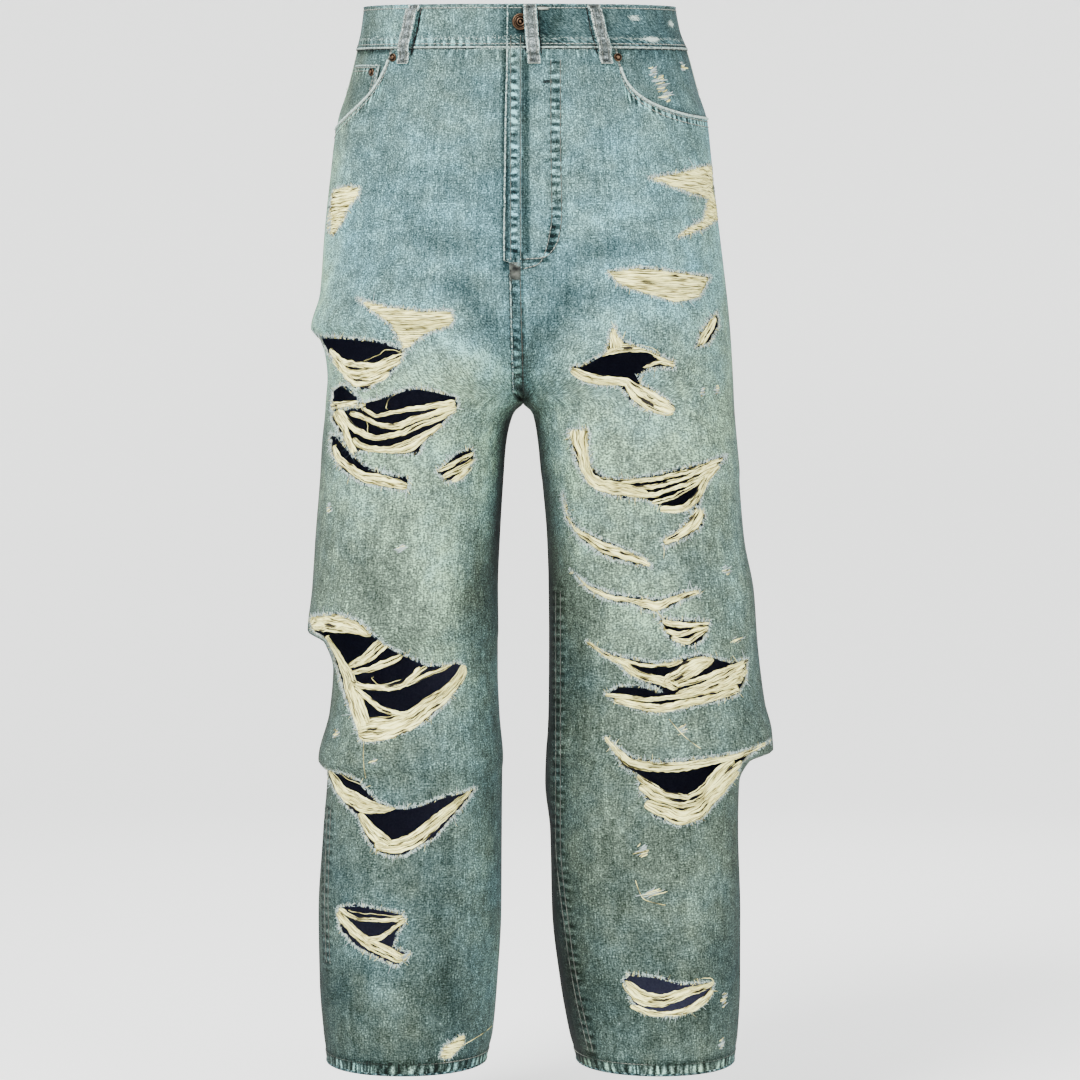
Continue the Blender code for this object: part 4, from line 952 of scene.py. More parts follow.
def cloth_panel(name, leg, face, across, level, out=0.0, wear=None, lift=None, folds=True, ripped=False,
                paler=0.0):
    """A sheet over a grid of places of the skin. Where it is ripped, its warp is cut out."""
    flat = skin(leg, face, across, level)
    x, z = flat[..., 0], flat[..., 2]
    fold = np.zeros_like(x)
    if folds:
        fold = relief(leg, face, x, z) * within(across, 0.05)
    height = fold + out
    inner, outer, top, foot = seam_lengths(flat)
    FLAT[name] = ((inner + outer).max(), foot.max())
    way = np.diff(flat[:1], axis=1)
    pace = np.linalg.norm(way, axis=2)
    along = np.concatenate([[[0.0]], np.cumsum(pace, 1)], 1)
    level_share = np.linalg.norm(way[..., :2], axis=2) / pace
    top = top * np.concatenate([level_share[:, :1], level_share], 1)
    lengths = {"top": top, "foot": foot}
    if lift is not None:
        height = height + lift(lengths)
    if ripped:
        height = height + rip_lift(leg, x, z)
    tuck, gather, marked, rise, painted_shade = seam_marks(leg, face, x, z, level, lengths)
    if folds:
        height = height + rise
    points = skin(leg, face, across, level, height)
    fade, sun = fade_and_shade(leg, across, level)
    away = rip_distance(leg, x, z) if ripped else np.ones_like(x)
    # fade holds the cloth's own fading and painted light: fold ridges paler, troughs darker, and the seams'
    # painted shadows
    numbers = dict(
        fade=fade + RIDGE_WEAR_AND_LIGHT * fold + marked + paler,
        wear=np.zeros_like(x) if wear is None else wear(lengths),
        torn=np.maximum(1 - away / TORN_REACH, 0.0),
        tuck=tuck, gather=gather, painted_shade=painted_shade, sun=sun, along=along + 0.0 * x)
    columns = (*np.moveaxis(points, -1, 0), across * PANEL_WIDTH, level, *numbers.values())
    values = np.stack([column.ravel() for column in columns], 1)
    faces = grid_triangles(*across.shape)
    if ripped:
        values, faces = clip(values, faces, (away + RAGGED * rng.normal(0, 1, away.shape)).ravel())
    points, uv = values[:, :3], values[:, 3:5]
    faces = facing_out(points, faces, face)
    return mesh_object(name, points, faces, uv, **dict(zip(numbers, values[:, 5:].T)))


def rows_from(columns, top, first, step):
    """Places of a panel that reaches the hem: rows about first apart from its curved top edge to a
    level row at FULL_WIDTH, then level rows about step apart."""
    t = np.linspace(0.0, 1.0, max(2, int(round((top.max() - FULL_WIDTH) / first))) + 1)[:-1, None]
    upper = top[None, :] * (1 - t) + FULL_WIDTH * t
    lower = np.linspace(FULL_WIDTH, HEM, int(round((FULL_WIDTH - HEM) / step)) + 1)
    level = np.concatenate([upper, np.repeat(lower[:, None], len(top), 1)])
    return np.broadcast_to(columns, level.shape), level


def patch(columns, top, foot, rows):
    """Places of a smaller piece: rows spread evenly from one level down to a foot, which is a curve."""
    t = np.linspace(0.0, 1.0, rows)[:, None]
    level = top * (1 - t) + foot[None, :] * t
    return np.broadcast_to(columns, level.shape), level


# %% [markdown]
# ## The fronts
#
# Each front of real jeans is one long piece, cut away at its top corner for the hand to reach the
# pocket. Here it runs from the waistband, or from the curved edge of its pocket mouth, to the hem. The
# pocket's edge is a quarter of an oval, so two numbers and an exponent say where it goes.

# %% Fronts
# the pocket mouth: where it starts across the front, its lowest level, and the oval's exponent
MOUTH_START = {"right": 0.595, "left": 0.415}
MOUTH_FOOT = {"right": -0.100, "left": -0.089}
MOUTH_POWER = {"right": 2.0, "left": 3.0}
MOUTH_LEAN = 0.9  # a line down below the mouth starts this much nearer the fly, for each metre
MOUTH_STEP, FRONT_STEP = 0.0028, 0.0029  # between rows


def mouth_level(leg, across, down=0.0):
    """Lower edge of the pocket opening, or a line that runs down below it: a quarter of an oval from
    the waistband to the side seam."""
    start = MOUTH_START[leg] - MOUTH_LEAN * down
    t = np.clip((across - start) / (1 - start), 0.0, 1.0)
    drop = (1 - (1 - t) ** MOUTH_POWER[leg]) ** (1 / MOUTH_POWER[leg])
    return BAND_FOOT + (MOUTH_FOOT[leg] - down - BAND_FOOT) * drop


def edge_lift(lengths):
    """The folded edge of a hem stands a little proud."""
    return 0.8 * MM * (1 - smooth(lengths["foot"], 11 * MM, 13 * MM))


def edge_wear(lengths):
    """Indigo rubbed off along the folded edges at the top and the foot."""
    return 0.5 * bell(lengths["top"], 2.0 * MM) + 0.35 * bell(lengths["foot"], 2.5 * MM)


for leg in SIDE:
    columns = np.linspace(0.0, 1.0, 97)
    places = rows_from(columns, mouth_level(leg, columns), MOUTH_STEP, FRONT_STEP)
    front = cloth_panel("denim_front_" + leg, leg, "front", *places, lift=edge_lift, wear=edge_wear,
                        ripped=True)
    dress(front, ["front_" + leg])
    print(front.name, len(front.data.polygons), "triangles")

# %% [markdown]
# ## The backs and yokes
#
# Behind, a yoke shapes the seat: its lower seam slants, and the cloth taken up in it would be a dart in
# other trousers. The back leg hangs from that seam. Both are plain grids, and the same few words as for
# the fronts place them.

# %% Backs and yokes
YOKE_SIDE, YOKE_CENTRE = -0.060, -0.095  # levels of the yoke's seam at the side and the centre back
BACK_STEP = 0.0050


def yoke_seam(across):
    """Level of the slanting seam under the yoke."""
    return YOKE_CENTRE + (YOKE_SIDE - YOKE_CENTRE) * across


for leg in SIDE:
    columns = np.linspace(0.0, 1.0, 61)
    places = patch(columns, BAND_FOOT, yoke_seam(columns) - 2 * MM, 17)
    yoke = cloth_panel("denim_yoke_" + leg, leg, "back", *places, out=0.7 * MM, wear=edge_wear)
    dress(yoke, ["yoke_" + leg])
    places = rows_from(columns, yoke_seam(columns), BACK_STEP, BACK_STEP)
    back = cloth_panel("denim_back_" + leg, leg, "back", *places, lift=edge_lift, wear=edge_wear)
    dress(back, ["back_" + leg])
    print(back.name, len(back.data.polygons), "triangles")

# %% [markdown]
# ## Pocket facings, coin pocket, back pockets and fly
#
# What shows in a pocket's mouth is its facing, a piece of the same denim that lines the pocket bag. It
# lies behind the front, and so does the small coin pocket sewn on the right one. The back pockets and
# the placket of the fly lie on top. All are patches of the same skin, moved in or out by the walls and
# gaps between the layers, so that they follow the panels exactly and never touch them.

# %% Pockets
MOUTH_HIDDEN = 0.012  # how far a facing goes on behind the front
FACING_AHEAD = 0.11  # and how far it starts before the mouth, across the front
FACING_FLAT = 0.92  # from here on, a facing runs out to the side seam
FACING_DEPTH = {"right": WALL + PATCH_WALL + 2 * LAYER_GAP + GAP, "left": WALL + LAYER_GAP}
COIN_DEPTH = WALL + LAYER_GAP
COIN = {"first": 0.655, "last": 0.90, "top": -0.036}  # its sides across the front, and its top level
BACK_COLUMNS = (0.16, 0.74)  # first and last across of a back pocket
BACK_POCKET = {"top": -0.118, "side_foot": -0.250, "middle_foot": -0.272}
PATCH_OUT = LAYER_GAP + PATCH_WALL

for leg in SIDE:
    columns = np.linspace(MOUTH_START[leg] - FACING_AHEAD, 1.0, 49)
    foot = np.minimum(mouth_level(leg, columns), BAND_FOOT - 0.02) - MOUTH_HIDDEN
    across, level = patch(columns, BAND_FOOT, foot, 33)
    depth = -FACING_DEPTH[leg] * (1 - smooth(across, FACING_FLAT, 1.0))
    facing = cloth_panel("denim_facing_" + leg, leg, "front", across, level, out=depth, folds=False,
                         paler=-0.06)
    dress(facing, ["pocket_facing_" + leg], thick=PATCH_WALL)

columns = np.linspace(COIN["first"], COIN["last"], 33)
places = patch(columns, COIN["top"], mouth_level("right", columns) - MOUTH_HIDDEN, 33)
coin = cloth_panel("denim_coin_pocket", "right", "front", *places, out=-COIN_DEPTH, wear=edge_wear,
                   folds=False, paler=-0.10)
dress(coin, ["coin_pocket"], thick=PATCH_WALL)

for leg in SIDE:
    columns = np.linspace(*BACK_COLUMNS, 49)
    side = np.abs(columns - np.mean(BACK_COLUMNS)) / (BACK_COLUMNS[1] - np.mean(BACK_COLUMNS))
    foot = BACK_POCKET["middle_foot"] + (BACK_POCKET["side_foot"] - BACK_POCKET["middle_foot"]) * side
    places = patch(columns, BACK_POCKET["top"], foot, 49)
    pocket = cloth_panel("denim_back_pocket_" + leg, leg, "back", *places, out=PATCH_OUT, wear=edge_wear)
    dress(pocket, ["back_pocket_" + leg], thick=PATCH_WALL)

# %% Fly placket
PLACKET_EDGE = 0.066  # across the front
PLACKET_FOOT = -0.246
PLACKET_SLANT = 0.008  # its edge ends this much higher than the centre

columns = np.linspace(0.0, PLACKET_EDGE, 13)
foot = PLACKET_FOOT + PLACKET_SLANT * columns / PLACKET_EDGE
placket = cloth_panel("denim_fly_placket", "right", "front", *patch(columns, BAND_FOOT, foot, 150),
                      out=PATCH_OUT, wear=edge_wear)
dress(placket, ["fly_placket"], thick=PATCH_WALL)

# %% [markdown]
# ## Threads
#
# A thread is a three-sided tube along a path. All threads with as many points are made in one go, from
# arrays. The threads of a bundle lie too close to be told apart, so a bundle is a bulging strip with
# streaks, which dips under the cloth at both ends, and only a few threads on it are tubes.


# %% Places of threads
SEEN_STEP = 0.002  # between the levels of the table that finds a place seen from in front
SEEN_REACH = 0.255  # and how far out from the middle it goes


def seen_table(leg, columns=260):
    """For rows of the front of a leg, its across and z at evenly spaced x, so that a place seen from
    in front can be looked up."""
    levels = np.arange(0.02, HEM - 2 * SEEN_STEP, -SEEN_STEP)
    across = np.linspace(0.0, 1.0, 161)
    points = skin(leg, "front", across, levels[:, None])
    x = np.linspace(0.0, SIDE[leg] * SEEN_REACH, columns)
    order = np.argsort(x)
    table = np.empty((2, len(levels), columns))
    for row, line in enumerate(points):
        sort = np.argsort(line[:, 0])
        table[0, row, order] = np.interp(x[order], line[sort, 0], across[sort])
        table[1, row, order] = np.interp(x[order], line[sort, 0], line[sort, 2])
    return levels, x, table


SEEN = {leg: seen_table(leg) for leg in SIDE}


def look_up(leg, x, level):
    """Across and z of the skin at x on a level, straight between the table's four nearest entries."""
    levels, xs, table = SEEN[leg]
    row = np.clip((level - levels[0]) / (levels[1] - levels[0]), 0, len(levels) - 1.001)
    column = np.clip(x / xs[1], 0, len(xs) - 1.001)
    i, j = row.astype(int), column.astype(int)
    u, v = row - i, column - j
    upper = table[:, i, j] * (1 - v) + table[:, i, j + 1] * v
    lower = table[:, i + 1, j] * (1 - v) + table[:, i + 1, j + 1] * v
    return upper * (1 - u) + lower * u


def on_skin(leg, x, z, out):
    """The point of the skin seen at x, z from in front, moved outwards. Its level is found in steps."""
    level = z.copy()
    for _ in range(4):
        level = level + z - look_up(leg, x, level)[1]
    return skin(leg, "front", look_up(leg, x, level)[0], level, out)


def length_along(points):
    """Length along a line of points, from zero at its first."""
    return np.concatenate([[0.0], np.cumsum(np.linalg.norm(np.diff(points, axis=0), axis=1))])


def along_line(points, count):
    """A smooth line through points, as count even steps of its length."""
    points = np.array(points, float)
    length = length_along(points[:, :2])
    t = np.linspace(0.0, length[-1], count)
    return np.stack([monotone(t, length, column) for column in points.T], 1)


def tubes(paths, radius, sides=3, turn=0.5 * math.pi, lean=(0.0, 1.0, 0.02), tip=0.4):
    """Tubes: rings of points at radius * (cos * first + sin * second) round each path, where first and
    second are square to it. paths is an array of threads x points x 3, radius has a number for each
    thread or for each of its points, and the last ring is smaller by tip."""
    threads, steps, _ = paths.shape
    tangent = np.gradient(paths, axis=1)
    tangent /= np.linalg.norm(tangent, axis=2, keepdims=True) + 1e-12
    first = np.cross(tangent, lean)
    first /= np.linalg.norm(first, axis=2, keepdims=True) + 1e-12
    second = np.cross(tangent, first)
    taper = np.ones(steps)
    taper[-1] = tip
    radius = np.reshape(radius, (threads, -1)) * taper
    angle = (turn + np.arange(sides) * 2 * math.pi / sides)[:, None]
    away = np.cos(angle) * first[..., None, :] + np.sin(angle) * second[..., None, :]
    points = paths[..., None, :] + away * radius[..., None, None]
    start = (np.arange(threads)[:, None] * steps + np.arange(steps - 1))[..., None] * sides
    i = start + np.arange(sides)
    j = start + (np.arange(sides) + 1) % sides
    return points.reshape(-1, 3), halves(np.stack([i, j, j + sides, i + sides], -1))


class Bundle:
    """Many threads and ribbons of one leg, as places seen from in front and heights over the skin."""

    def __init__(self, leg):
        self.leg, self.parts = leg, []

    def threads(self, x, z, height, radius, shade):
        """Threads: x, z and height are arrays of threads x points in metres, the rest one a thread."""
        self.parts.append((x, z, height + np.zeros_like(x), radius, shade))

    def ribbon(self, x, z, height, shade):
        """A strip of points across x along, for what lies behind threads."""
        self.threads(x, z, height, None, shade)

    def mesh(self, name):
        """All parts set on the skin at once, then made into tubes and strips. Their UV is how far over
        the bundle and how far along its threads."""
        flat = [np.concatenate([part[i].ravel() for part in self.parts]) for i in range(3)]
        placed = on_skin(self.leg, *flat)
        made, used = [], 0
        for x, _, _, radius, shade in self.parts:
            grid = placed[used:used + x.size].reshape(*x.shape, 3)
            used += x.size
            run = np.cumsum(np.linalg.norm(np.diff(grid, axis=1, prepend=grid[:, :1]), axis=2), 1)
            if radius is None:
                points = grid.reshape(-1, 3)
                faces = facing_out(points, grid_triangles(*x.shape), "front")
                shade = np.full(x.size, shade)
                wide = np.linalg.norm(np.diff(grid, axis=0), axis=2).sum(0).mean()
                over = np.linspace(0.0, wide, len(x))[:, None] + 0.0 * run
            else:
                points, faces = tubes(grid, radius)
                shade = np.repeat(shade, len(points) // len(x))
                over = rng.uniform(0, 1, (len(x), 1)) + 0.0 * run
            place = np.stack([over.ravel(), run.ravel()], 1) + rng.uniform(0, 1, 2)
            made.append((points, faces, np.repeat(place, len(points) // x.size, axis=0), shade))
        points, faces, places, shades = join(made)
        return mesh_object(name, points, faces, places, shade=shades)


def wander(threads, steps, size, waves=2.5):
    """Slow sideways drift of each thread: two sines of chance phase."""
    t = np.linspace(0.0, 1.0, steps)[None, :]
    phase = rng.uniform(0, 2 * math.pi, (2, threads, 1))
    rate = rng.uniform(0.6, 1.4, (2, threads, 1)) * waves * math.pi
    return size * (0.6 * np.sin(rate[0] * t + phase[0]) + 0.4 * np.sin(2.3 * rate[1] * t + phase[1]))


# %% Bundles, ladders and hairs
THREAD, HAIR = 0.42 * MM, 0.22 * MM  # radius of a thread of weft, and of a cut end
UNDER = -2.4 * MM  # the ends of weft lie this far in, under the cloth
SINGLE = 2.2  # mm, the widest band that is drawn as single threads
WOVEN = 2.0  # the shade of a bundle
BULGE = 1.2 * MM  # how far the middle of a bundle stands over its sides
DIP, TAPER = 3.5, 7.0  # mm at the ends of a bundle in which it goes under the cloth, and narrows
STRAND = 1.7  # mm of a bundle's width for each thread that has come away from it
WITH_LIP = 0.6  # share of the cloth's lip that the weft in a rip follows
TUFT_PITCH = 0.6  # mm from thread to thread of a worn place
LEFT_FACING = (-90, -20)  # levels in mm between which the left leg's worn places are on its facing
DYED, BARE = (-0.35, -0.25), 1.0  # shades of warp and weft in a worn place
HAIR_SHADES = {-1.5: 0.34, -0.6: 0.40, 0.2: 0.13, 0.8: 0.13}  # dark, pale and bare ends, and how many


def band_threads(bundle, band):
    """A bundle of weft along a band: a strip that bulges by 1 - (2 * side)^2, whose material draws the
    threads that lie close together, and over it a few that have come away."""
    length = length_along(np.array(band)[:, :2])[-1]
    steps = max(7, int(length / 2.4))
    line = along_line(band, steps)
    way = np.gradient(line[:, :2], axis=0)
    way /= np.linalg.norm(way, axis=1)[:, None]
    across = np.stack([-way[:, 1], way[:, 0]], 1)
    t = np.linspace(0.0, 1.0, steps)[None, :]
    shake = wander(1, steps, 0.5, length / 14)
    wide = line[None, :, 2] * (0.4 + 0.6 * within(t, TAPER / length))

    def laid(offset, over):
        """Offsets from the middle line, in mm, as places seen from in front, and heights."""
        x, z = ((line[None, :, i] + across[None, :, i] * (offset + shake)) * MM for i in (0, 1))
        height = 1.9 * MM + over + rip_lift(bundle.leg, x, z) * WITH_LIP
        return x, z, UNDER + height * within(t, DIP / length)

    widest = line[:, 2].max()
    if widest > SINGLE:
        sides = np.linspace(-0.5, 0.5, 9)[:, None]
        offset = sides * wide + wander(9, steps, 0.45, length / 6)
        bundle.ribbon(*laid(offset, BULGE * (1 - (2 * sides) ** 2)), WOVEN)
    count = max(1, int(widest / STRAND))
    start, end = (rng.uniform(-0.55, 0.55, (count, 1)) for _ in range(2))
    offset = (start * (1 - t) + end * t) * wide + wander(count, steps, 0.5, 3.5)
    height = rng.uniform(0.7, 1.7, (count, 1)) * MM
    bundle.threads(*laid(offset, height), THREAD * rng.uniform(0.6, 1.0, count), rng.uniform(0.6, 1.2, count))


def ladder_threads(bundle, cut, pitch=0.95, beyond=2.5):
    """Level threads close across a rip whose weft is whole, each as long as the rip is wide there and
    a bit beyond. Sizes are in mm."""
    corners = np.array(cut, float)
    x = np.linspace(corners[:, 0].min(), corners[:, 0].max(), 90)
    levels = np.arange(corners[:, 1].min() + 0.5, corners[:, 1].max() - 0.5, pitch)
    places = np.stack(np.broadcast_arrays(x[None, :], levels[:, None])) * MM
    inside = outline_distance(*places, cut) < 0
    kept = inside.sum(1) > 2
    first, last = x[inside[kept].argmax(1)][:, None], x[-1 - inside[kept][:, ::-1].argmax(1)][:, None]
    count, steps = int(kept.sum()), 16
    t = np.linspace(0.0, 1.0, steps)[None, :]
    x = ((first - beyond) * (1 - t) + (last + beyond) * t) * MM
    z = levels[kept][:, None] + wander(count, steps, 0.4, 3.5)
    z = (z - (last - first) * 0.03 * np.sin(math.pi * t)) * MM
    dip = within(t, 0.10)
    height = UNDER + (2.3 * MM + rip_lift(bundle.leg, x, z) * WITH_LIP) * dip
    bundle.ribbon(x, z, height, WOVEN)
    some = rng.random(count) < 0.4
    height = height + rng.uniform(0.1, 0.8, (count, 1)) * MM * dip
    bundle.threads(x[some], z[some], height[some], THREAD * rng.uniform(0.6, 1.0, some.sum()),
                   rng.uniform(0.4, 1.0, some.sum()))


def tuft(bundle, x, z, wide, high):
    """A few short bare threads, level, one over the other, and longest in the middle."""
    count, steps = max(7, int(high / TUFT_PITCH)), 5
    t = np.linspace(-0.5, 0.5, steps)[None, :]
    row = np.linspace(-0.5, 0.5, count)[:, None]
    middle = x + rng.normal(0, 0.14 * wide, (count, 1))
    span = wide * (1 - 1.2 * np.abs(row)) * rng.uniform(0.5, 1.3, (count, 1))
    line_z = z + row * high + t * 0.25 * wide + wander(count, steps, 0.4)
    height = 0.35 * MM - 1.0 * MM * np.abs(2 * t) ** 4
    if bundle.leg == "left" and LEFT_FACING[0] < z < LEFT_FACING[1]:
        height = height - FACING_DEPTH["left"]
    bundle.threads((middle + t * span) * MM, line_z * MM, height, THREAD * rng.uniform(1.0, 1.8, count),
                   rng.choice([*DYED, BARE], count))


def on_folds(leg, x, z):
    """How far the front of a leg stands out at a place, with its lips and folds."""
    return rip_lift(leg, x, z) + relief(leg, "front", x, z)


def loose_thread(bundle, line):
    """A single thread that lies on the cloth and its folds."""
    x, z = (along_line(line, 16) * MM).T[:, None, :]
    bundle.threads(x, z, on_folds(bundle.leg, x, z) + 0.2 * MM, np.array([0.4 * MM]), np.array([0.7]))


def edge_hairs(bundle, cut, pitch=0.55):
    """Cut ends of warp and weft, one every pitch mm along the edge of a rip. They start in the rip, and
    most of their length lies over the cloth, bent by t^2."""
    corners = np.array(cut, float)
    run = np.roll(corners, -1, axis=0) - corners
    edges = np.linalg.norm(run, axis=1)
    ends = np.cumsum(edges)
    count = int(edges.sum() / pitch)
    place = np.sort(rng.uniform(0, edges.sum(), count))
    edge = np.searchsorted(ends, place).clip(0, len(edges) - 1)
    start = corners[edge] + run[edge] * ((place - (ends - edges)[edge]) / edges[edge])[:, None]
    outward = (run[:, ::-1] * (-1, 1) / edges[:, None])[edge]
    probe = (start + outward * 0.5) * MM
    outward[outline_distance(probe[:, 0], probe[:, 1], cut) < 0] *= -1
    ahead = outward + rng.normal(0, 0.45, outward.shape) + np.sign(outward[:, 1:]) * [0.0, 0.4]
    length = 0.8 + rng.exponential(1.1, count).clip(0, 3.5)
    t = np.linspace(0.0, 1.0, 3)[None, :, None]
    bend = rng.normal(0, 0.35, (count, 1, 2)) * t ** 2
    line = (start - outward * 1.2)[:, None, :] + (ahead[:, None, :] * t + bend) * length[:, None, None]
    x, z = line[..., 0] * MM, line[..., 1] * MM
    height = on_folds(bundle.leg, x, z) + (0.1 + rng.uniform(0.0, 0.5, (count, 1)) * t[..., 0]) * MM
    bundle.threads(x, z, height, HAIR * rng.uniform(0.7, 1.4, count),
                   rng.choice(list(HAIR_SHADES), count, p=list(HAIR_SHADES.values())))


# %% All the threads
def bare_cotton(name, codes, pale, dark, gap):
    """Cotton weft, combed into streaks along its threads, in the codes from hollow to ridge: the noise that
    raises the bump also darkens the hollows and lightens the ridges, as painted shade and highlight over
    the threads' own tone. A shade under zero is a cut warp thread, pale or dark, and a bundle has painted
    shade in slits between its strands."""
    material, tree, shader = new_material(name, {"Roughness": 0.85, "Specular IOR Level": 0.2})
    shade = add(tree, "Attribute", attribute_name="shade", out="Fac")
    cloth = add(tree, "UVMap", uv_map="cloth")
    fine, strand = combed(tree, cloth, 1.1, 14.0), combed(tree, cloth, 2.3, 26.0)
    capped = add(tree, "Math", {0: shade, 1: 0.74}, operation="MINIMUM")
    tone_and_shade = add(tree, "Math", {0: capped, 1: sums(tree, (fine, 2.6), (strand, 2.2))})
    base = ramp(tree, tone_and_shade, codes)
    for low, high, code in ((-0.1, -0.4, pale), (-0.9, -1.2, dark)):
        dyed = add(tree, "MapRange", {"Value": shade, "From Min": low, "From Max": high})
        base = add(tree, "Mix", {"Factor": dyed, 6: base, 7: colour(code)}, data_type="RGBA", out=2)
    painted_slit = add(tree, "MapRange", {"Value": strand, "From Min": 0.455, "From Max": 0.415})
    woven = add(tree, "MapRange", {"Value": shade, "From Min": 1.4, "From Max": 1.6})
    painted_slit = add(tree, "Math", {0: painted_slit, 1: woven}, operation="MULTIPLY")
    base = add(tree, "Mix", {"Factor": painted_slit, 6: base, 7: colour(gap)}, data_type="RGBA", out=2)
    tree.links.new(base, shader.inputs["Base Color"])
    height = sums(tree, (fine, 0.6), (strand, 2.5))
    bump = add(tree, "Bump", {"Height": height, "Strength": 0.6, "Distance": 0.8 * MM})
    tree.links.new(bump, shader.inputs["Normal"])
    return material


# gap is the painted shade seen in the slits between the strands of a bundle
COTTON = bare_cotton("bare_cotton_weft", ("#1d1910", "#766e44", "#d4cb7e", "#fffcae"), pale="#b4c6c4",
                     dark="#1d3038", gap="#15120f")
for leg in SIDE:
    weft, hairs = Bundle(leg), Bundle(leg)
    for rip in RIPS[leg]:
        for band in rip.get("bands", ()):
            band_threads(weft, band)
        if rip.get("full"):
            ladder_threads(weft, rip["cut"])
        edge_hairs(hairs, rip["cut"])
    for nick in NICKS[leg]:
        tuft(weft, *nick)
    for line in LOOSE[leg]:
        loose_thread(weft, line)
    for bundle, name in ((weft, "weft_threads_"), (hairs, "frayed_hairs_")):
        thing = dress(bundle.mesh(name + leg), (), materials=(COTTON,), thick=0)
        print(thing.name, len(thing.data.polygons), "triangles")

# %% [markdown]
# ## Edges, stitching and hardware
#
# Washing rubs the fold of every edge pale, which draws the garment's seams. Each folded edge is a
# fine cord of cloth on its line, and the stitches beside it are short dashes of thread. The darkest
# rows are painted shadow lines along creases and beside raised edges, made the same way.

# %% Cords and stitches
EDGES, STITCHES = [], []
TOPSTITCH, TACK, PAINTED_SHADOW = 0.75, 0.35, 0.0  # how pale a thread is; the darkest is a painted shadow line rather than thread
GROOVE_PAINTED_SHADE, GROOVE_DEPTH = 0.12, 0.35 * MM  # painted shade of the groove that stitches are pulled into, drawn as a dark line, and its depth


def points_at(points, at):
    """Points of a line, at these lengths along it."""
    length = length_along(points)
    return np.stack([np.interp(at, length, column) for column in points.T], -1)


def even_steps(points, pitch):
    """Lengths along a line, about pitch apart."""
    total = length_along(points)[-1]
    return np.linspace(0.0, total, max(3, int(total / pitch)))


def edge(points, radius, wear, fade=0.6, gather=0.5):
    """A folded edge: a cord of cloth along a line of points."""
    at = even_steps(points, 2.5 * MM)
    EDGES.append((points_at(points, at), at, radius, wear, fade, gather))


def stitch(points, pale=TOPSTITCH, dash=2.8 * MM, gap=1.3 * MM, radius=0.38 * MM):
    """A row of stitches: dashes of thread, each three points long, over a dark line that paints the shade
    of their groove. A row at the darkest shade, with long dashes, is a painted shadow line and gets no
    groove."""
    if pale > PAINTED_SHADOW:
        groove = points_at(points, even_steps(points, 4 * MM))
        STITCHES.append((groove[None] - [[0.0, 0.0, GROOVE_DEPTH]], 0.5 * MM, GROOVE_PAINTED_SHADE))
    start = np.arange(0.0, length_along(points)[-1] - dash, dash + gap)
    STITCHES.append((points_at(points, start[:, None] + dash * np.array([0.0, 0.5, 1.0])), radius, pale))


def seen(leg, rows, out, steps=60):
    """A smooth line through places seen from in front, in mm, laid on the skin."""
    line = along_line(rows, steps) * MM
    return on_skin(leg, line[:, 0], line[:, 1], np.full(steps, out))


# %% [markdown]
# ## Waistband and belt loops
#
# A waistband is one strip, sewn round the top and buttoned over its own start. So its surface is a
# profile of levels carried once round the waist and a little further, and it lies further in by a step
# where the buttoned end covers it. A belt loop is a narrow strip too. Its path over the band comes from
# a short table, because it stands clear of the band in the middle and is tacked down at both ends.

# %% Waistband
BAND_STEP_START, BAND_STEP_FULL = 0.220, 0.085  # quarters where the covered end goes in, and is in
BAND_UNDER_END, BAND_OVER_END = -0.100, 4.066  # quarters where the strip starts and ends
BAND_FADE = np.array([
    # x in mm, fade
    (-210, 0.50), (-150, 0.54), (-128, 0.66), (-70, 0.66), (-42, 0.61), (-24, 0.54), (-16, 0.34), (10, 0.26),
    (34, 0.30), (46, 0.50), (60, 0.52), (76, 0.46), (112, 0.52), (137, 0.44), (240, 0.40)])
BAND_FADE_BEHIND = 0.5
BAND_SPOTS = ((109, -3, 5.5, 2.2), (146, -2, 3, 3), (126, -23, 6, 2.5))  # x, z, width, height in mm
QUARTERS = (
    # leg and face of each quarter, and across = start + way * turn
    ("left", "front", 0, -1), ("right", "front", 0, 1), ("right", "back", 2, -1),
    ("left", "back", -2, 1), ("left", "front", 4, -1), ("right", "front", -4, 1))


def band_place(turn):
    """Leg, face and across for a place along the waistband, counted in quarters from the centre front
    round the wearer's right side."""
    leg, face, start, way = QUARTERS[math.floor(turn) + 1]
    return leg, face, start + way * turn


def around(turn, level, out):
    """Points of the waistband at one turn, further in where the buttoned end covers it."""
    share = (BAND_STEP_START - turn) / (BAND_STEP_START - BAND_STEP_FULL)
    step = (BAND_WALL + LAYER_GAP) * np.clip(share, 0, 1)
    return skin(*band_place(turn), level, out - step)


def ring(level, out):
    """A level line round the waistband."""
    return np.array([around(turn, level, out) for turn in np.linspace(BAND_UNDER_END, BAND_OVER_END, 420)])


turns = np.concatenate([np.linspace(BAND_UNDER_END, 0.32, 26), np.linspace(0.335, BAND_OVER_END, 250)])
levels = np.linspace(BAND_TOP, BAND_FOOT, 15)
points = np.stack([around(turn, levels, BAND_PROUD) for turn in turns], axis=1)
inner, outer, top, foot = seam_lengths(points)
before = points[..., 1] < 0
x, z = points[..., 0] / MM, points[..., 2] / MM
wear = 0.5 * bell(top, 1.5 * MM) + 0.6 * bell(foot, 1.5 * MM) + 0.42 * bell(foot - 10.5 * MM, 2.2 * MM)
for spot_x, spot_z, wide, high in BAND_SPOTS:
    wear += 1.2 * before * bell(x - spot_x, wide) * bell(z - spot_z, high)
fade = np.where(before, monotone(x, BAND_FADE[:, 0], BAND_FADE[:, 1]), BAND_FADE_BEHIND)
fade = fade - 0.14 * bell(foot - 14 * MM, 1.2 * MM)
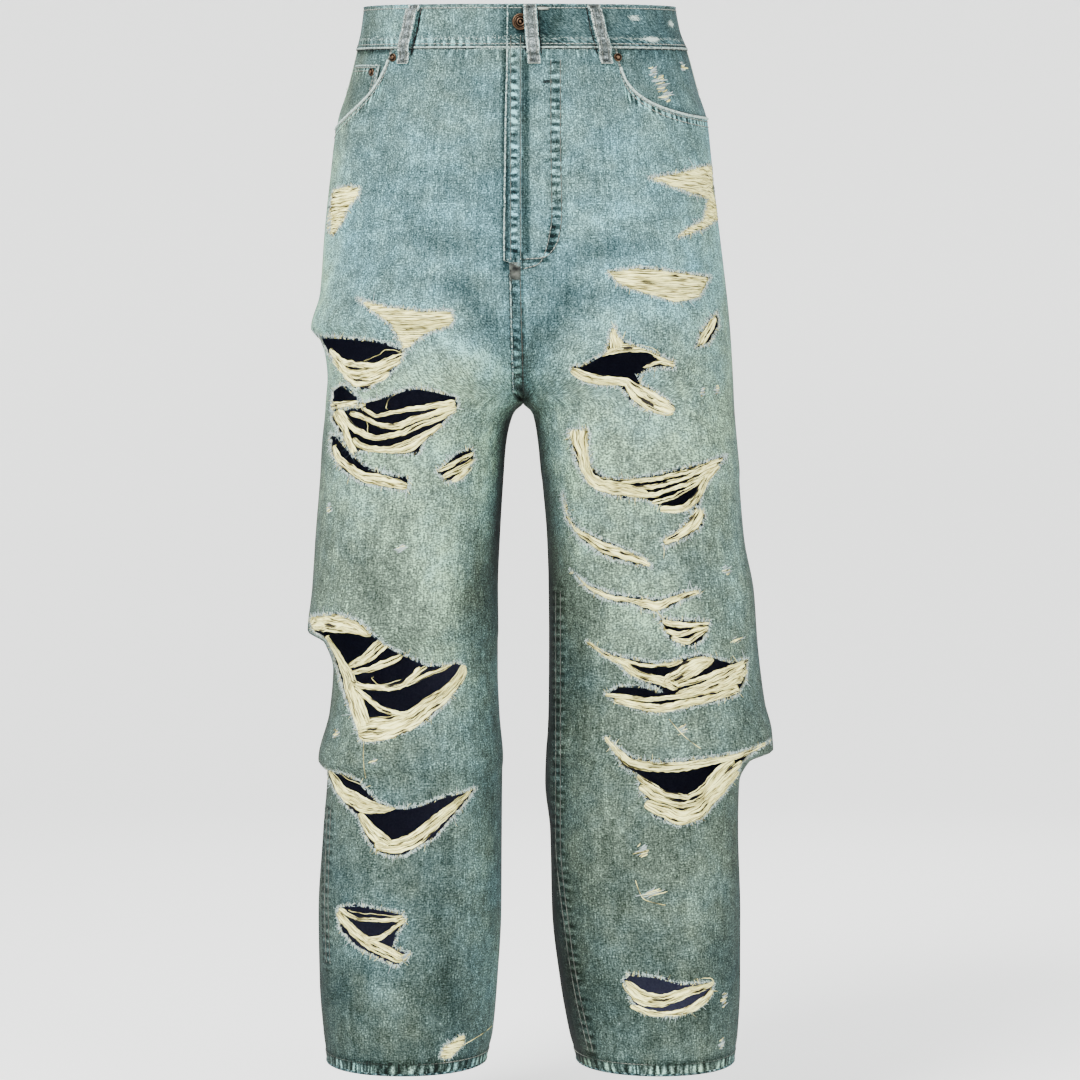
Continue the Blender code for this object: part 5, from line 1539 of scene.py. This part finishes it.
numbers = dict(fade=fade, sun=np.interp(x, (-200, 60), (0.45, 0.10)), wear=wear,
               gather=0.8 * np.exp(-((foot - 5 * MM) / (6 * MM)) ** 4), along=inner)
band = mesh_object("denim_waistband", points.reshape(-1, 3), grid_triangles(*points.shape[:2]),
                   np.stack([inner.ravel(), -top.ravel()], 1),
                   **{key: value.ravel() for key, value in numbers.items()})
FLAT["denim_waistband"] = (inner.max(), foot.max())
dress(band, ["waistband"], thick=BAND_WALL)

# %% Belt loops
BELT_LOOPS = (
    # leg, face, across at the top and at the foot
    ("right", "front", 0.495, 0.520),
    ("left", "front", 0.033, 0.050),
    ("left", "front", 0.328, 0.360),
    ("right", "back", 0.430, 0.430),
    ("right", "back", 0.000, 0.000),
    ("left", "back", 0.430, 0.430),
)
LOOP_WIDTH, LOOP_WALL = 0.012, 0.0020
LOOP_AHEAD = 0.02  # how far ahead, across, the way of its width is looked up
LOOP_ROOM = 0.0070  # from the skin to its inner face, where a belt goes through
LOOP_TOP, LOOP_FOOT = 0.0215, -0.0350
LOOP_FADE, LOOP_TUCK = 0.60, 0.35
BAR_TACKS = (2, 3, 4, -3, -4, -5)  # the rows of its grid that are sewn down, above and below
LOOP_PATH = np.array([
    # level    height of its inner face over the skin
    (LOOP_TOP, BAND_PROUD + 0.0008),
    (LOOP_TOP - 0.0030, BAND_PROUD + 0.0008),
    (LOOP_TOP - 0.0055, LOOP_ROOM - 0.0010),
    (0.0000, LOOP_ROOM),
    (-0.0140, LOOP_ROOM),
    (LOOP_FOOT + 0.0120, LOOP_ROOM - 0.0020),
    (LOOP_FOOT + 0.0080, 0.0008),
    (LOOP_FOOT, 0.0008),
])


def belt_loop(number, leg, face, top, foot):
    """A strip over the waistband: its path is a curve through the table, its width runs level, and its
    edges roll in by the sixth power of how far out they are."""
    t = np.linspace(0.0, 1.0, 56)
    levels = LOOP_TOP + (LOOP_FOOT - LOOP_TOP) * t
    height = monotone(levels, LOOP_PATH[:, 0], LOOP_PATH[:, 1]) + LOOP_WALL
    share = top + (foot - top) * t
    centre = skin(leg, face, share, levels)
    along = skin(leg, face, share + LOOP_AHEAD, levels) - centre
    if top == 0.0:
        along = np.tile([SIDE[leg], 0.0, 0.0], (len(levels), 1))
    along /= np.linalg.norm(along, axis=1)[:, None]
    normal = np.cross(along, [0.0, 0.0, 1.0])
    facing = -1.0 if face == "front" else 1.0
    normal *= (np.sign(normal[:, 1]) * facing / np.linalg.norm(normal, axis=1))[:, None]
    sides = np.linspace(-0.5, 0.5, 13)[None, :, None]
    out = height[:, None, None] - 0.5 * MM * (2 * np.abs(sides)) ** 6
    points = centre[:, None] + along[:, None] * sides * LOOP_WIDTH + normal[:, None] * out
    faces = facing_out(points.reshape(-1, 3), grid_triangles(*points.shape[:2]), face)
    inner, outer, down, _ = seam_lengths(points)
    uv = np.stack([inner.ravel() + number, down.ravel()], 1)
    wear = 0.75 * bell(np.minimum(inner, outer), 1.6 * MM).ravel()
    loop = mesh_object(f"denim_belt_loop_{number}", points.reshape(-1, 3), faces, uv, wear=wear,
                       fade=np.full(wear.size, LOOP_FADE), tuck=np.full(wear.size, LOOP_TUCK))
    under = np.where(levels > BAND_FOOT, BAND_PROUD + 0.1 * MM, 0.4 * MM)[:, None] * normal
    right = np.sign(along[0, 0])
    for aside, radius in ((-0.60, 0.8), (0.62, 1.5)):  # painted shadow lines for the shade that it casts on the band beside it
        beside = centre + along * right * aside * LOOP_WIDTH + under
        stitch(beside[3:-2], PAINTED_SHADOW, 9 * MM, 0.2 * MM, radius * MM)
    for column in (0, -1):
        edge(points[:, column] - normal * 0.4 * MM, 0.7 * MM, 0.42)
    for column in (3, -4):
        stitch(points[:, column] + normal * 0.1 * MM, TACK)
    # the sewn-down rows, drawn as dark lines of painted shade in their creases
    for row in BAR_TACKS:
        stitch(points[row, 2:-2] + normal[row] * 0.15 * MM, PAINTED_SHADOW, 7 * MM, 0.5 * MM)
    FLAT[loop.name] = (inner.max(), down.max())
    dress(loop, [f"belt_loop_{number}"], (LOOP_DENIM, REVERSE_PAINTED_SHADE, RIM), LOOP_WALL)


for number, place in enumerate(BELT_LOOPS, start=1):
    belt_loop(number, *place)
print("belt loops:", len(BELT_LOOPS))

# %% Waistband and fly
def shifted(line, aside):
    """A line of places as x, z in mm, moved aside."""
    return [(x + aside, z) for x, z in line]


# the waistband: rubbed edges, two rows of stitches, painted shadow lines along the crease under it, and its
# buttoned end
edge(ring(BAND_FOOT + 0.8 * MM, BAND_PROUD + 0.1 * MM), 0.8 * MM, 0.62)
edge(ring(BAND_TOP - 0.6 * MM, BAND_PROUD - 0.3 * MM), 0.8 * MM, 0.25)
for level in (BAND_TOP - 3.6 * MM, BAND_FOOT + 4.2 * MM):
    stitch(ring(level, BAND_PROUD + 0.1 * MM))
for aside in (-0.6, 2.3):
    stitch(ring(BAND_FOOT + aside * MM, BAND_PROUD + 0.1 * MM), PAINTED_SHADOW, 9 * MM, 0.5 * MM, 0.5 * MM)
levels = np.linspace(BAND_TOP - 1 * MM, BAND_FOOT + 1 * MM, 20)
edge(skin(*band_place(BAND_OVER_END), levels, BAND_PROUD), 0.8 * MM, 0.5)

# the placket: its folded edge, and a row of stitches down each side
levels = np.linspace(BAND_FOOT, PLACKET_FOOT + PLACKET_SLANT, 80)
edge(skin("right", "front", PLACKET_EDGE - 0.002, levels, PATCH_OUT - 0.2 * MM), 0.9 * MM, 0.55)
for x, pale in ((-11.2, TOPSTITCH), (-1.8, 1.0)):
    stitch(seen("right", [(x, -24), (x, -120), (x, -243)], PATCH_OUT + 0.15 * MM, 100), pale)

# the J of the fly, as two rows beside its seam
for aside in (-4.6, 4.6):
    stitch(seen("left", [(32 + aside, -48), (32 + aside, -120), (33 + aside, -198), (30 + aside, -222),
                         (18 + 0.4 * aside, -243 + aside * 0.6), (1, -246 + aside)], 0.6 * MM, 120))

# the crotch seam with two painted shadow lines beside it, the bar tacks at the placket's foot and on the
# waistband, the latter edged by painted shadow lines, and painted shadow lines of a fold on the fly
CROTCH_SEAM = [(0, -256), (1, -310), (2, -366)]
for aside, pale in ((-13.0, PAINTED_SHADOW), (-10.4, PAINTED_SHADOW), (-2.2, TOPSTITCH)):
    stitch(seen("right", shifted(CROTCH_SEAM, aside), 0.9 * MM), pale, 5 * MM, 0.6 * MM)
edge(seen("right", shifted(CROTCH_SEAM, -11.7), 0.6 * MM), 0.9 * MM, 0.45)
for x in np.arange(-12.0, -2.0, 0.9):
    stitch(seen("right", [(x, -245), (x, -262)], PATCH_OUT, 12), 0.55, 15 * MM, 1 * MM)
for z, pale in ((4.6, PAINTED_SHADOW), (3.6, 0.8), (2.8, 0.9), (2.0, 0.8), (1.0, PAINTED_SHADOW)):
    stitch(seen("left", [(14, z), (26, z)], BAND_PROUD + 0.2 * MM, 8), pale, 11 * MM, 0.5 * MM, 0.5 * MM)
for z in (-68.0, -69.2, -70.4):
    stitch(seen("left", [(20, z), (30, z)], 0.5 * MM, 8), PAINTED_SHADOW, 9 * MM, 0.5 * MM, 0.45 * MM)

# %% Pockets, seams and hems
for leg in SIDE:
    # the pocket mouth: its fold, a painted shadow line behind it, and two rows of stitches below
    columns = np.linspace(MOUTH_START[leg] + 0.004, 1.0, 60)
    mouth = mouth_level(leg, columns)
    edge(skin(leg, "front", columns, mouth, 0.3 * MM), 1.3 * MM, 0.75)
    stitch(skin(leg, "front", columns, mouth + 1.6 * MM, -0.6 * MM), PAINTED_SHADOW, 20 * MM, 0.5 * MM, 0.9 * MM)
    for down in (3.0 * MM, 8.5 * MM):
        columns = np.linspace(MOUTH_START[leg] - MOUTH_LEAN * down, 1.0, 60)
        stitch(skin(leg, "front", columns, mouth_level(leg, columns, down), 0.25 * MM))
    # the hem, before and behind
    columns = np.linspace(0.0, 1.0, 120)
    for face in ("front", "back"):
        edge(skin(leg, face, columns, HEM + 1.2 * MM, 0.4 * MM), 1.2 * MM, 0.2, 0.35, 1.2)
        stitch(skin(leg, face, columns, HEM + 11.5 * MM, 0.3 * MM), TACK)
    # the yoke's seam, and the centre back
    columns = np.linspace(0.0, 1.0, 60)
    edge(skin(leg, "back", columns, yoke_seam(columns) + 1 * MM, 0.6 * MM), 0.9 * MM, 0.5)
    for down in (2.5 * MM, 8 * MM):
        stitch(skin(leg, "back", columns, yoke_seam(columns) - down, 0.3 * MM))
    stitch(skin(leg, "back", 0.022, np.linspace(YOKE_CENTRE - 0.004, -0.36, 80), 0.8 * MM))

# the left inseam and the right side seam, each as three lines beside one path: a painted shadow line and two
# rows of stitches
LEFT_INSEAM = [(-1, -560), (-1, -660), (-1, -800), (9, -900), (19, -960), (31, -1010)]
RIGHT_SIDE_SEAM = [(0, -775), (-2, -860), (0, -925)]
for aside, pale in ((31.5, PAINTED_SHADOW), (34.0, TACK), (38.5, TACK)):
    stitch(seen("left", shifted(LEFT_INSEAM, aside), 0.6 * MM, 200), pale)
for aside, pale in ((-195.5, PAINTED_SHADOW), (-192.0, TOPSTITCH), (-188.0, TACK)):
    stitch(seen("right", shifted(RIGHT_SIDE_SEAM, aside), 0.6 * MM), pale)

# the coin pocket: up its inner side, and along its top
share = np.array([COIN["first"]] * 12 + list(np.linspace(COIN["first"], COIN["last"], 24)))
foot = mouth_level("right", COIN["first"]) + 3 * MM
level = np.array(list(np.linspace(foot, COIN["top"], 12)) + [COIN["top"]] * 24)
edge(skin("right", "front", share, level - 0.4 * MM, 0.2 * MM - COIN_DEPTH), 0.9 * MM, 0.55)
for inset in (2.2, 5.6):
    rows = skin("right", "front", share + inset * 0.004, level - inset * MM, 0.25 * MM - COIN_DEPTH)
    stitch(rows[13:])
    stitch(rows[:12])

# %% Back pockets
for leg in SIDE:
    first, last = BACK_COLUMNS
    middle = (first + last) / 2
    top, side_foot, middle_foot = BACK_POCKET["top"], BACK_POCKET["side_foot"], BACK_POCKET["middle_foot"]
    corners = np.array([
        (first, top), (first, side_foot), (middle, middle_foot), (last, side_foot), (last, top)])
    t = np.linspace(0.0, 4.0, 160)
    share, level = (np.interp(t, np.arange(5), column) for column in corners.T)
    rise = MM * smooth(t, 0.8, 1.0) * smooth(4 - t, 0.8, 1.0)
    for inset in (0.0, 2.0, 8.0):
        row = skin(leg, "back", middle + (share - middle) * (1 - inset / 75), level + inset * rise,
                   PATCH_OUT + 0.2 * MM)
        if inset:
            stitch(row)
        else:
            edge(row, 0.8 * MM, 0.45)
    columns = np.linspace(first, last, 40)
    edge(skin(leg, "back", columns, top - 0.5 * MM, PATCH_OUT), 1.0 * MM, 0.6)
    for down in (3.0, 13.0):
        stitch(skin(leg, "back", columns, top - down * MM, PATCH_OUT + 0.2 * MM))
print("folded edges:", len(EDGES), "rows of stitches:", len(STITCHES))


# %% The sewn meshes
def cord_mesh(name, cords, sides=6):
    """Cords that swell by a sine every 7 mm, with the heather of the cloth wrapped round them."""
    parts = []
    for line, at, radius, wear, fade, gather in cords:
        swell = radius * (1 + 0.12 * np.sin(at * 2 * math.pi / (7 * MM)) + rng.normal(0, 0.05, len(at)))
        points, faces = tubes(line[None], swell, sides, turn=0.0, lean=(0.3, 0.9, 0.3), tip=1.0)
        over = np.arange(sides) * 2 * math.pi / sides * radius
        uv = np.stack([np.tile(over, len(line)), np.repeat(at, sides)], 1) + rng.uniform(0, 9, 2)
        rubbed = np.repeat(wear + 0.12 * np.sin(at * 2 * math.pi / (6.3 * MM)), sides)
        parts.append((points, faces, uv, rubbed, np.full(len(points), fade), np.full(len(points), gather)))
    points, faces, uv, rubbed, fade, gather = join(parts)
    return mesh_object(name, points, faces, uv, wear=rubbed, fade=fade, tuck=gather)


def stitch_mesh(name, rows):
    """All stitches as three-sided tubes, with their paleness as shade."""
    parts = []
    for paths, radius, pale in rows:
        points, faces = tubes(paths, np.full(len(paths), radius))
        parts.append((points, faces, np.full(len(points), pale)))
    points, faces, shades = join(parts)
    return mesh_object(name, points, faces, shade=shades)


# %% [markdown]
# ## Hardware
#
# A jeans button and its rivets are stamped from copper sheet, and tumbled with the jeans until they
# darken. Being round, they are turned here: a profile of radius and height is spun round its axis. The
# button's face has plain rings, rubbed bright where they stand up.


# %% Button and rivets
def aged_copper(name):
    """Tumbled copper: dark in the hollows, bright where it stands up."""
    material, tree, shader = new_material(name, {"Roughness": 0.38, "Metallic": 1.0})
    raised = add(tree, "Attribute", attribute_name="raised", out="Fac")
    place = add(tree, "TexCoord", out="Object")
    noise = add(tree, "TexNoise", {"Vector": place, "Scale": 900.0, "Detail": 2.0})
    bright = add(tree, "Math", {0: noise, 1: 0.5, 2: raised}, operation="MULTIPLY_ADD")
    bright = add(tree, "MapRange", {"Value": bright, "From Min": 0.5, "From Max": 1.4})
    base = add(tree, "Mix", {"Factor": bright, 6: colour("#050505"), 7: colour("#5a4636")}, out=2,
               data_type="RGBA")
    tree.links.new(base, shader.inputs["Base Color"])
    return material


def turned(name, profile, place, way, sides=40):
    """A profile of radius, height and raised, spun round way as its axis, from place."""
    radius, height, raised = profile.T
    side = np.cross([0.0, 0.0, 1.0], way)
    side /= np.linalg.norm(side)
    up = np.cross(way, side)
    angle = np.linspace(0.0, 2 * math.pi, sides, endpoint=False)
    round_way = np.cos(angle)[None, :, None] * side + np.sin(angle)[None, :, None] * up
    points = place + height[:, None, None] * way + radius[:, None, None] * round_way
    rows, i = np.arange(len(radius) - 1)[:, None] * sides, np.arange(sides)[None, :]
    j = (i + 1) % sides
    faces = halves(np.stack([rows + i, rows + sides + i, rows + sides + j, rows + j], -1))
    points = points.reshape(-1, 3)
    corners = points[faces]
    outwards = corners.mean(1) - (place + way * height.max() / 2)
    normal = np.cross(corners[:, 1] - corners[:, 0], corners[:, 2] - corners[:, 0])
    if (normal * outwards).sum() < 0:
        faces = faces[:, ::-1]
    return mesh_object(name, points, faces, raised=np.repeat(raised, sides))


def seat(leg, across, level, out):
    """A place on the skin and the level way out of it, for a piece of hardware."""
    here = skin(leg, "front", across, level, out)
    way = (skin(leg, "front", across, level, out + 0.01) - here) * [1.0, 1.0, 0.0]
    return here, way / np.linalg.norm(way)


COPPER = aged_copper("aged_copper")
BUTTON = [
    # radius, height, raised, in mm
    (0.01, 3.3, 1.0), (1.2, 3.3, 0.9), (1.6, 2.5, 0.1), (2.6, 2.4, 0.0), (3.1, 3.0, 0.9), (3.7, 3.0, 0.9),
    (4.1, 2.4, 0.0), (5.0, 2.4, 0.0), (5.5, 3.0, 0.8), (5.9, 2.9, 0.7), (6.2, 2.7, 0.1), (6.6, 3.1, 0.3),
    (7.2, 3.8, 1.0), (7.8, 3.5, 1.0), (8.2, 2.6, 0.5), (8.1, 1.8, 0.2), (6.4, 1.2, 0.0), (3.7, 0.1, 0.0),
    (0.01, 0.0, 0.0)]
RIVET = [
    # radius, height, raised, in mm
    (0.01, 1.8, 1.0), (1.0, 1.8, 1.0), (1.7, 1.6, 0.8), (2.1, 1.0, 0.0), (2.6, 0.9, 0.1), (3.4, 0.95, 0.8),
    (3.9, 0.6, 0.9), (4.0, 0.0, 0.3), (0.01, 0.0, 0.0)]
RIVETS = (
    ("right", 0.574, -0.0290, 0.0),
    ("left", 0.413, -0.0290, 0.0),
    ("right", 0.694, -0.0430, WALL + LAYER_GAP),
)


def hardware(name, node, profile, place, way):
    """A turned piece that stands for its solid."""
    thing = turned(name, np.array(profile) * (MM, MM, 1.0), place, way)
    return dress(thing, [node], (COPPER,), thick=0)


hardware("copper_button", "button", BUTTON, *seat("right", 0.006, 0.0048, BAND_PROUD + LAYER_GAP))
for number, (leg, across, level, under) in enumerate(RIVETS, start=1):
    place, way = seat(leg, across, level, LAYER_GAP + GAP - under)
    hardware(f"copper_rivet_{number}", f"rivet_{number}", RIVET, place, way)
print("hardware:", 1 + len(RIVETS))

# %% [markdown]
# ## Sewing it together
#
# All the lines of edges and stitches are known now, so each kind becomes one mesh. The cords wear the
# denim itself. The stitches are cotton that was dyed with the cloth and has faded with it: a number at
# each point says how pale, and one material serves them all. The darkest of them are painted shadow
# lines and the painted shade of the grooves under the stitches.

# %% Thread for the stitches, and the sewn meshes
def stitch_thread(name):
    """Sewing cotton, from near black, for painted shadow lines and the painted shade of grooves, to rubbed
    bare.
    """
    material, tree, shader = new_material(name, {"Roughness": 0.8, "Specular IOR Level": 0.2})
    shade = add(tree, "Attribute", attribute_name="shade", out="Fac")
    place = add(tree, "TexCoord", out="Object")
    noise = add(tree, "TexNoise", {"Vector": place, "Scale": 220.0, "Detail": 1.0})
    total = add(tree, "Math", {0: noise, 1: 0.4, 2: shade}, operation="MULTIPLY_ADD")
    pale = add(tree, "MapRange", {"Value": total, "From Min": 0.2, "From Max": 1.25})
    base = add(tree, "Mix", {"Factor": pale, 6: colour("#04070a"), 7: colour("#cfd6c8")}, out=2,
               data_type="RGBA")
    tree.links.new(base, shader.inputs["Base Color"])
    return material


cords = dress(cord_mesh("denim_folded_edges", EDGES), (), thick=0, materials=(DENIM,))
stitches = dress(stitch_mesh("stitches", STITCHES), (), thick=0, materials=(stitch_thread("sewing_cotton_and_painted_shadow"),))
print(cords.name, len(cords.data.polygons), "and", stitches.name, len(stitches.data.polygons), "triangles")

# %% [markdown]
# ## Studio: floor, lights and camera
#
# A garment that is filled out as if worn is shown against white paper. The paper here is a round dish:
# flat under the jeans, with a bend and a wall all round, so that there is no corner from any side, and
# it glows a little, as paper lit from all around does. One soft lamp gives the folds and threads their
# shape, a weaker one opens the shadows, and one stands behind for the back.

# %% Studio
FLOOR_LEVEL = -1.10
SWEEP_FLAT, SWEEP_BEND, SWEEP_TOP = 3.6, 1.2, 1.6  # the paper's flat floor, bend, and the level of its rim
PAPER_GLOW = 0.42
SKY = 0.85
MIDDLE = (0.0, 0.0, -0.5)  # what the lamps are turned to
CAMERA = (0.017, -2.9, -0.510)
SENSOR, PICTURE_WIDTH = 36.0, 1.08  # mm of film, and metres that it takes in at the jeans

paper, _, _ = new_material("white_paper", {
    "Roughness": 0.9, "Base Color": colour("#f4f4f2"), "Emission Color": colour("#f2f4f6"),
    "Emission Strength": PAPER_GLOW})
bend = np.linspace(0.1, math.pi / 2, 12)
away = np.array([0.001, SWEEP_FLAT, *(SWEEP_FLAT + SWEEP_BEND * np.sin(bend)), SWEEP_FLAT + SWEEP_BEND])
level = np.array([FLOOR_LEVEL, FLOOR_LEVEL, *(FLOOR_LEVEL + SWEEP_BEND * (1 - np.cos(bend))), SWEEP_TOP])
away, level, turn = away[:, None], level[:, None], np.linspace(0.0, 2 * math.pi, 97)[None, :]
points = np.stack(np.broadcast_arrays(away * np.sin(turn), -away * np.cos(turn), level), -1)
floor = mesh_object("paper_sweep", points.reshape(-1, 3), grid_triangles(*points.shape[:2])[:, ::-1])
floor.data.materials.append(paper)

world = bpy.data.worlds.new("studio")
bpy.context.scene.world = world
world.use_nodes = True
sky = world.node_tree.nodes["Background"].inputs
sky["Color"].default_value = colour("#eef1f4")
sky["Strength"].default_value = SKY


def softbox(name, place, size, power):
    """A square area light at place, turned towards the middle of the jeans."""
    lamp = bpy.data.lights.new(name, "AREA")
    lamp.shape = "SQUARE"
    lamp.size = size
    lamp.energy = power
    thing = bpy.data.objects.new(name, lamp)
    bpy.context.scene.collection.objects.link(thing)
    way = np.array(MIDDLE) - place
    thing.location = place
    thing.rotation_euler = (math.atan2(math.hypot(way[0], way[1]), -way[2]), 0.0,
                            math.atan2(way[0], -way[1]) + math.pi)
    thing.visible_camera = False


softbox("key", (-1.3, -2.0, 1.7), 1.1, 235)
softbox("fill", (2.0, -2.2, 0.2), 1.8, 75)
softbox("back", (0.6, 2.6, 1.9), 1.6, 110)

camera = bpy.data.objects.new("camera", bpy.data.cameras.new("camera"))
bpy.context.scene.collection.objects.link(camera)
camera.location = CAMERA
camera.rotation_euler = (math.pi / 2, 0.0, 0.0)
camera.data.sensor_width = SENSOR
camera.data.lens = SENSOR * -CAMERA[1] / PICTURE_WIDTH
bpy.context.scene.camera = camera
print("camera:", CAMERA, "lens:", round(camera.data.lens, 1), "mm")

# %% Sizes and finish
print("triangles:", sum(len(thing.data.polygons) for thing in PIECES))
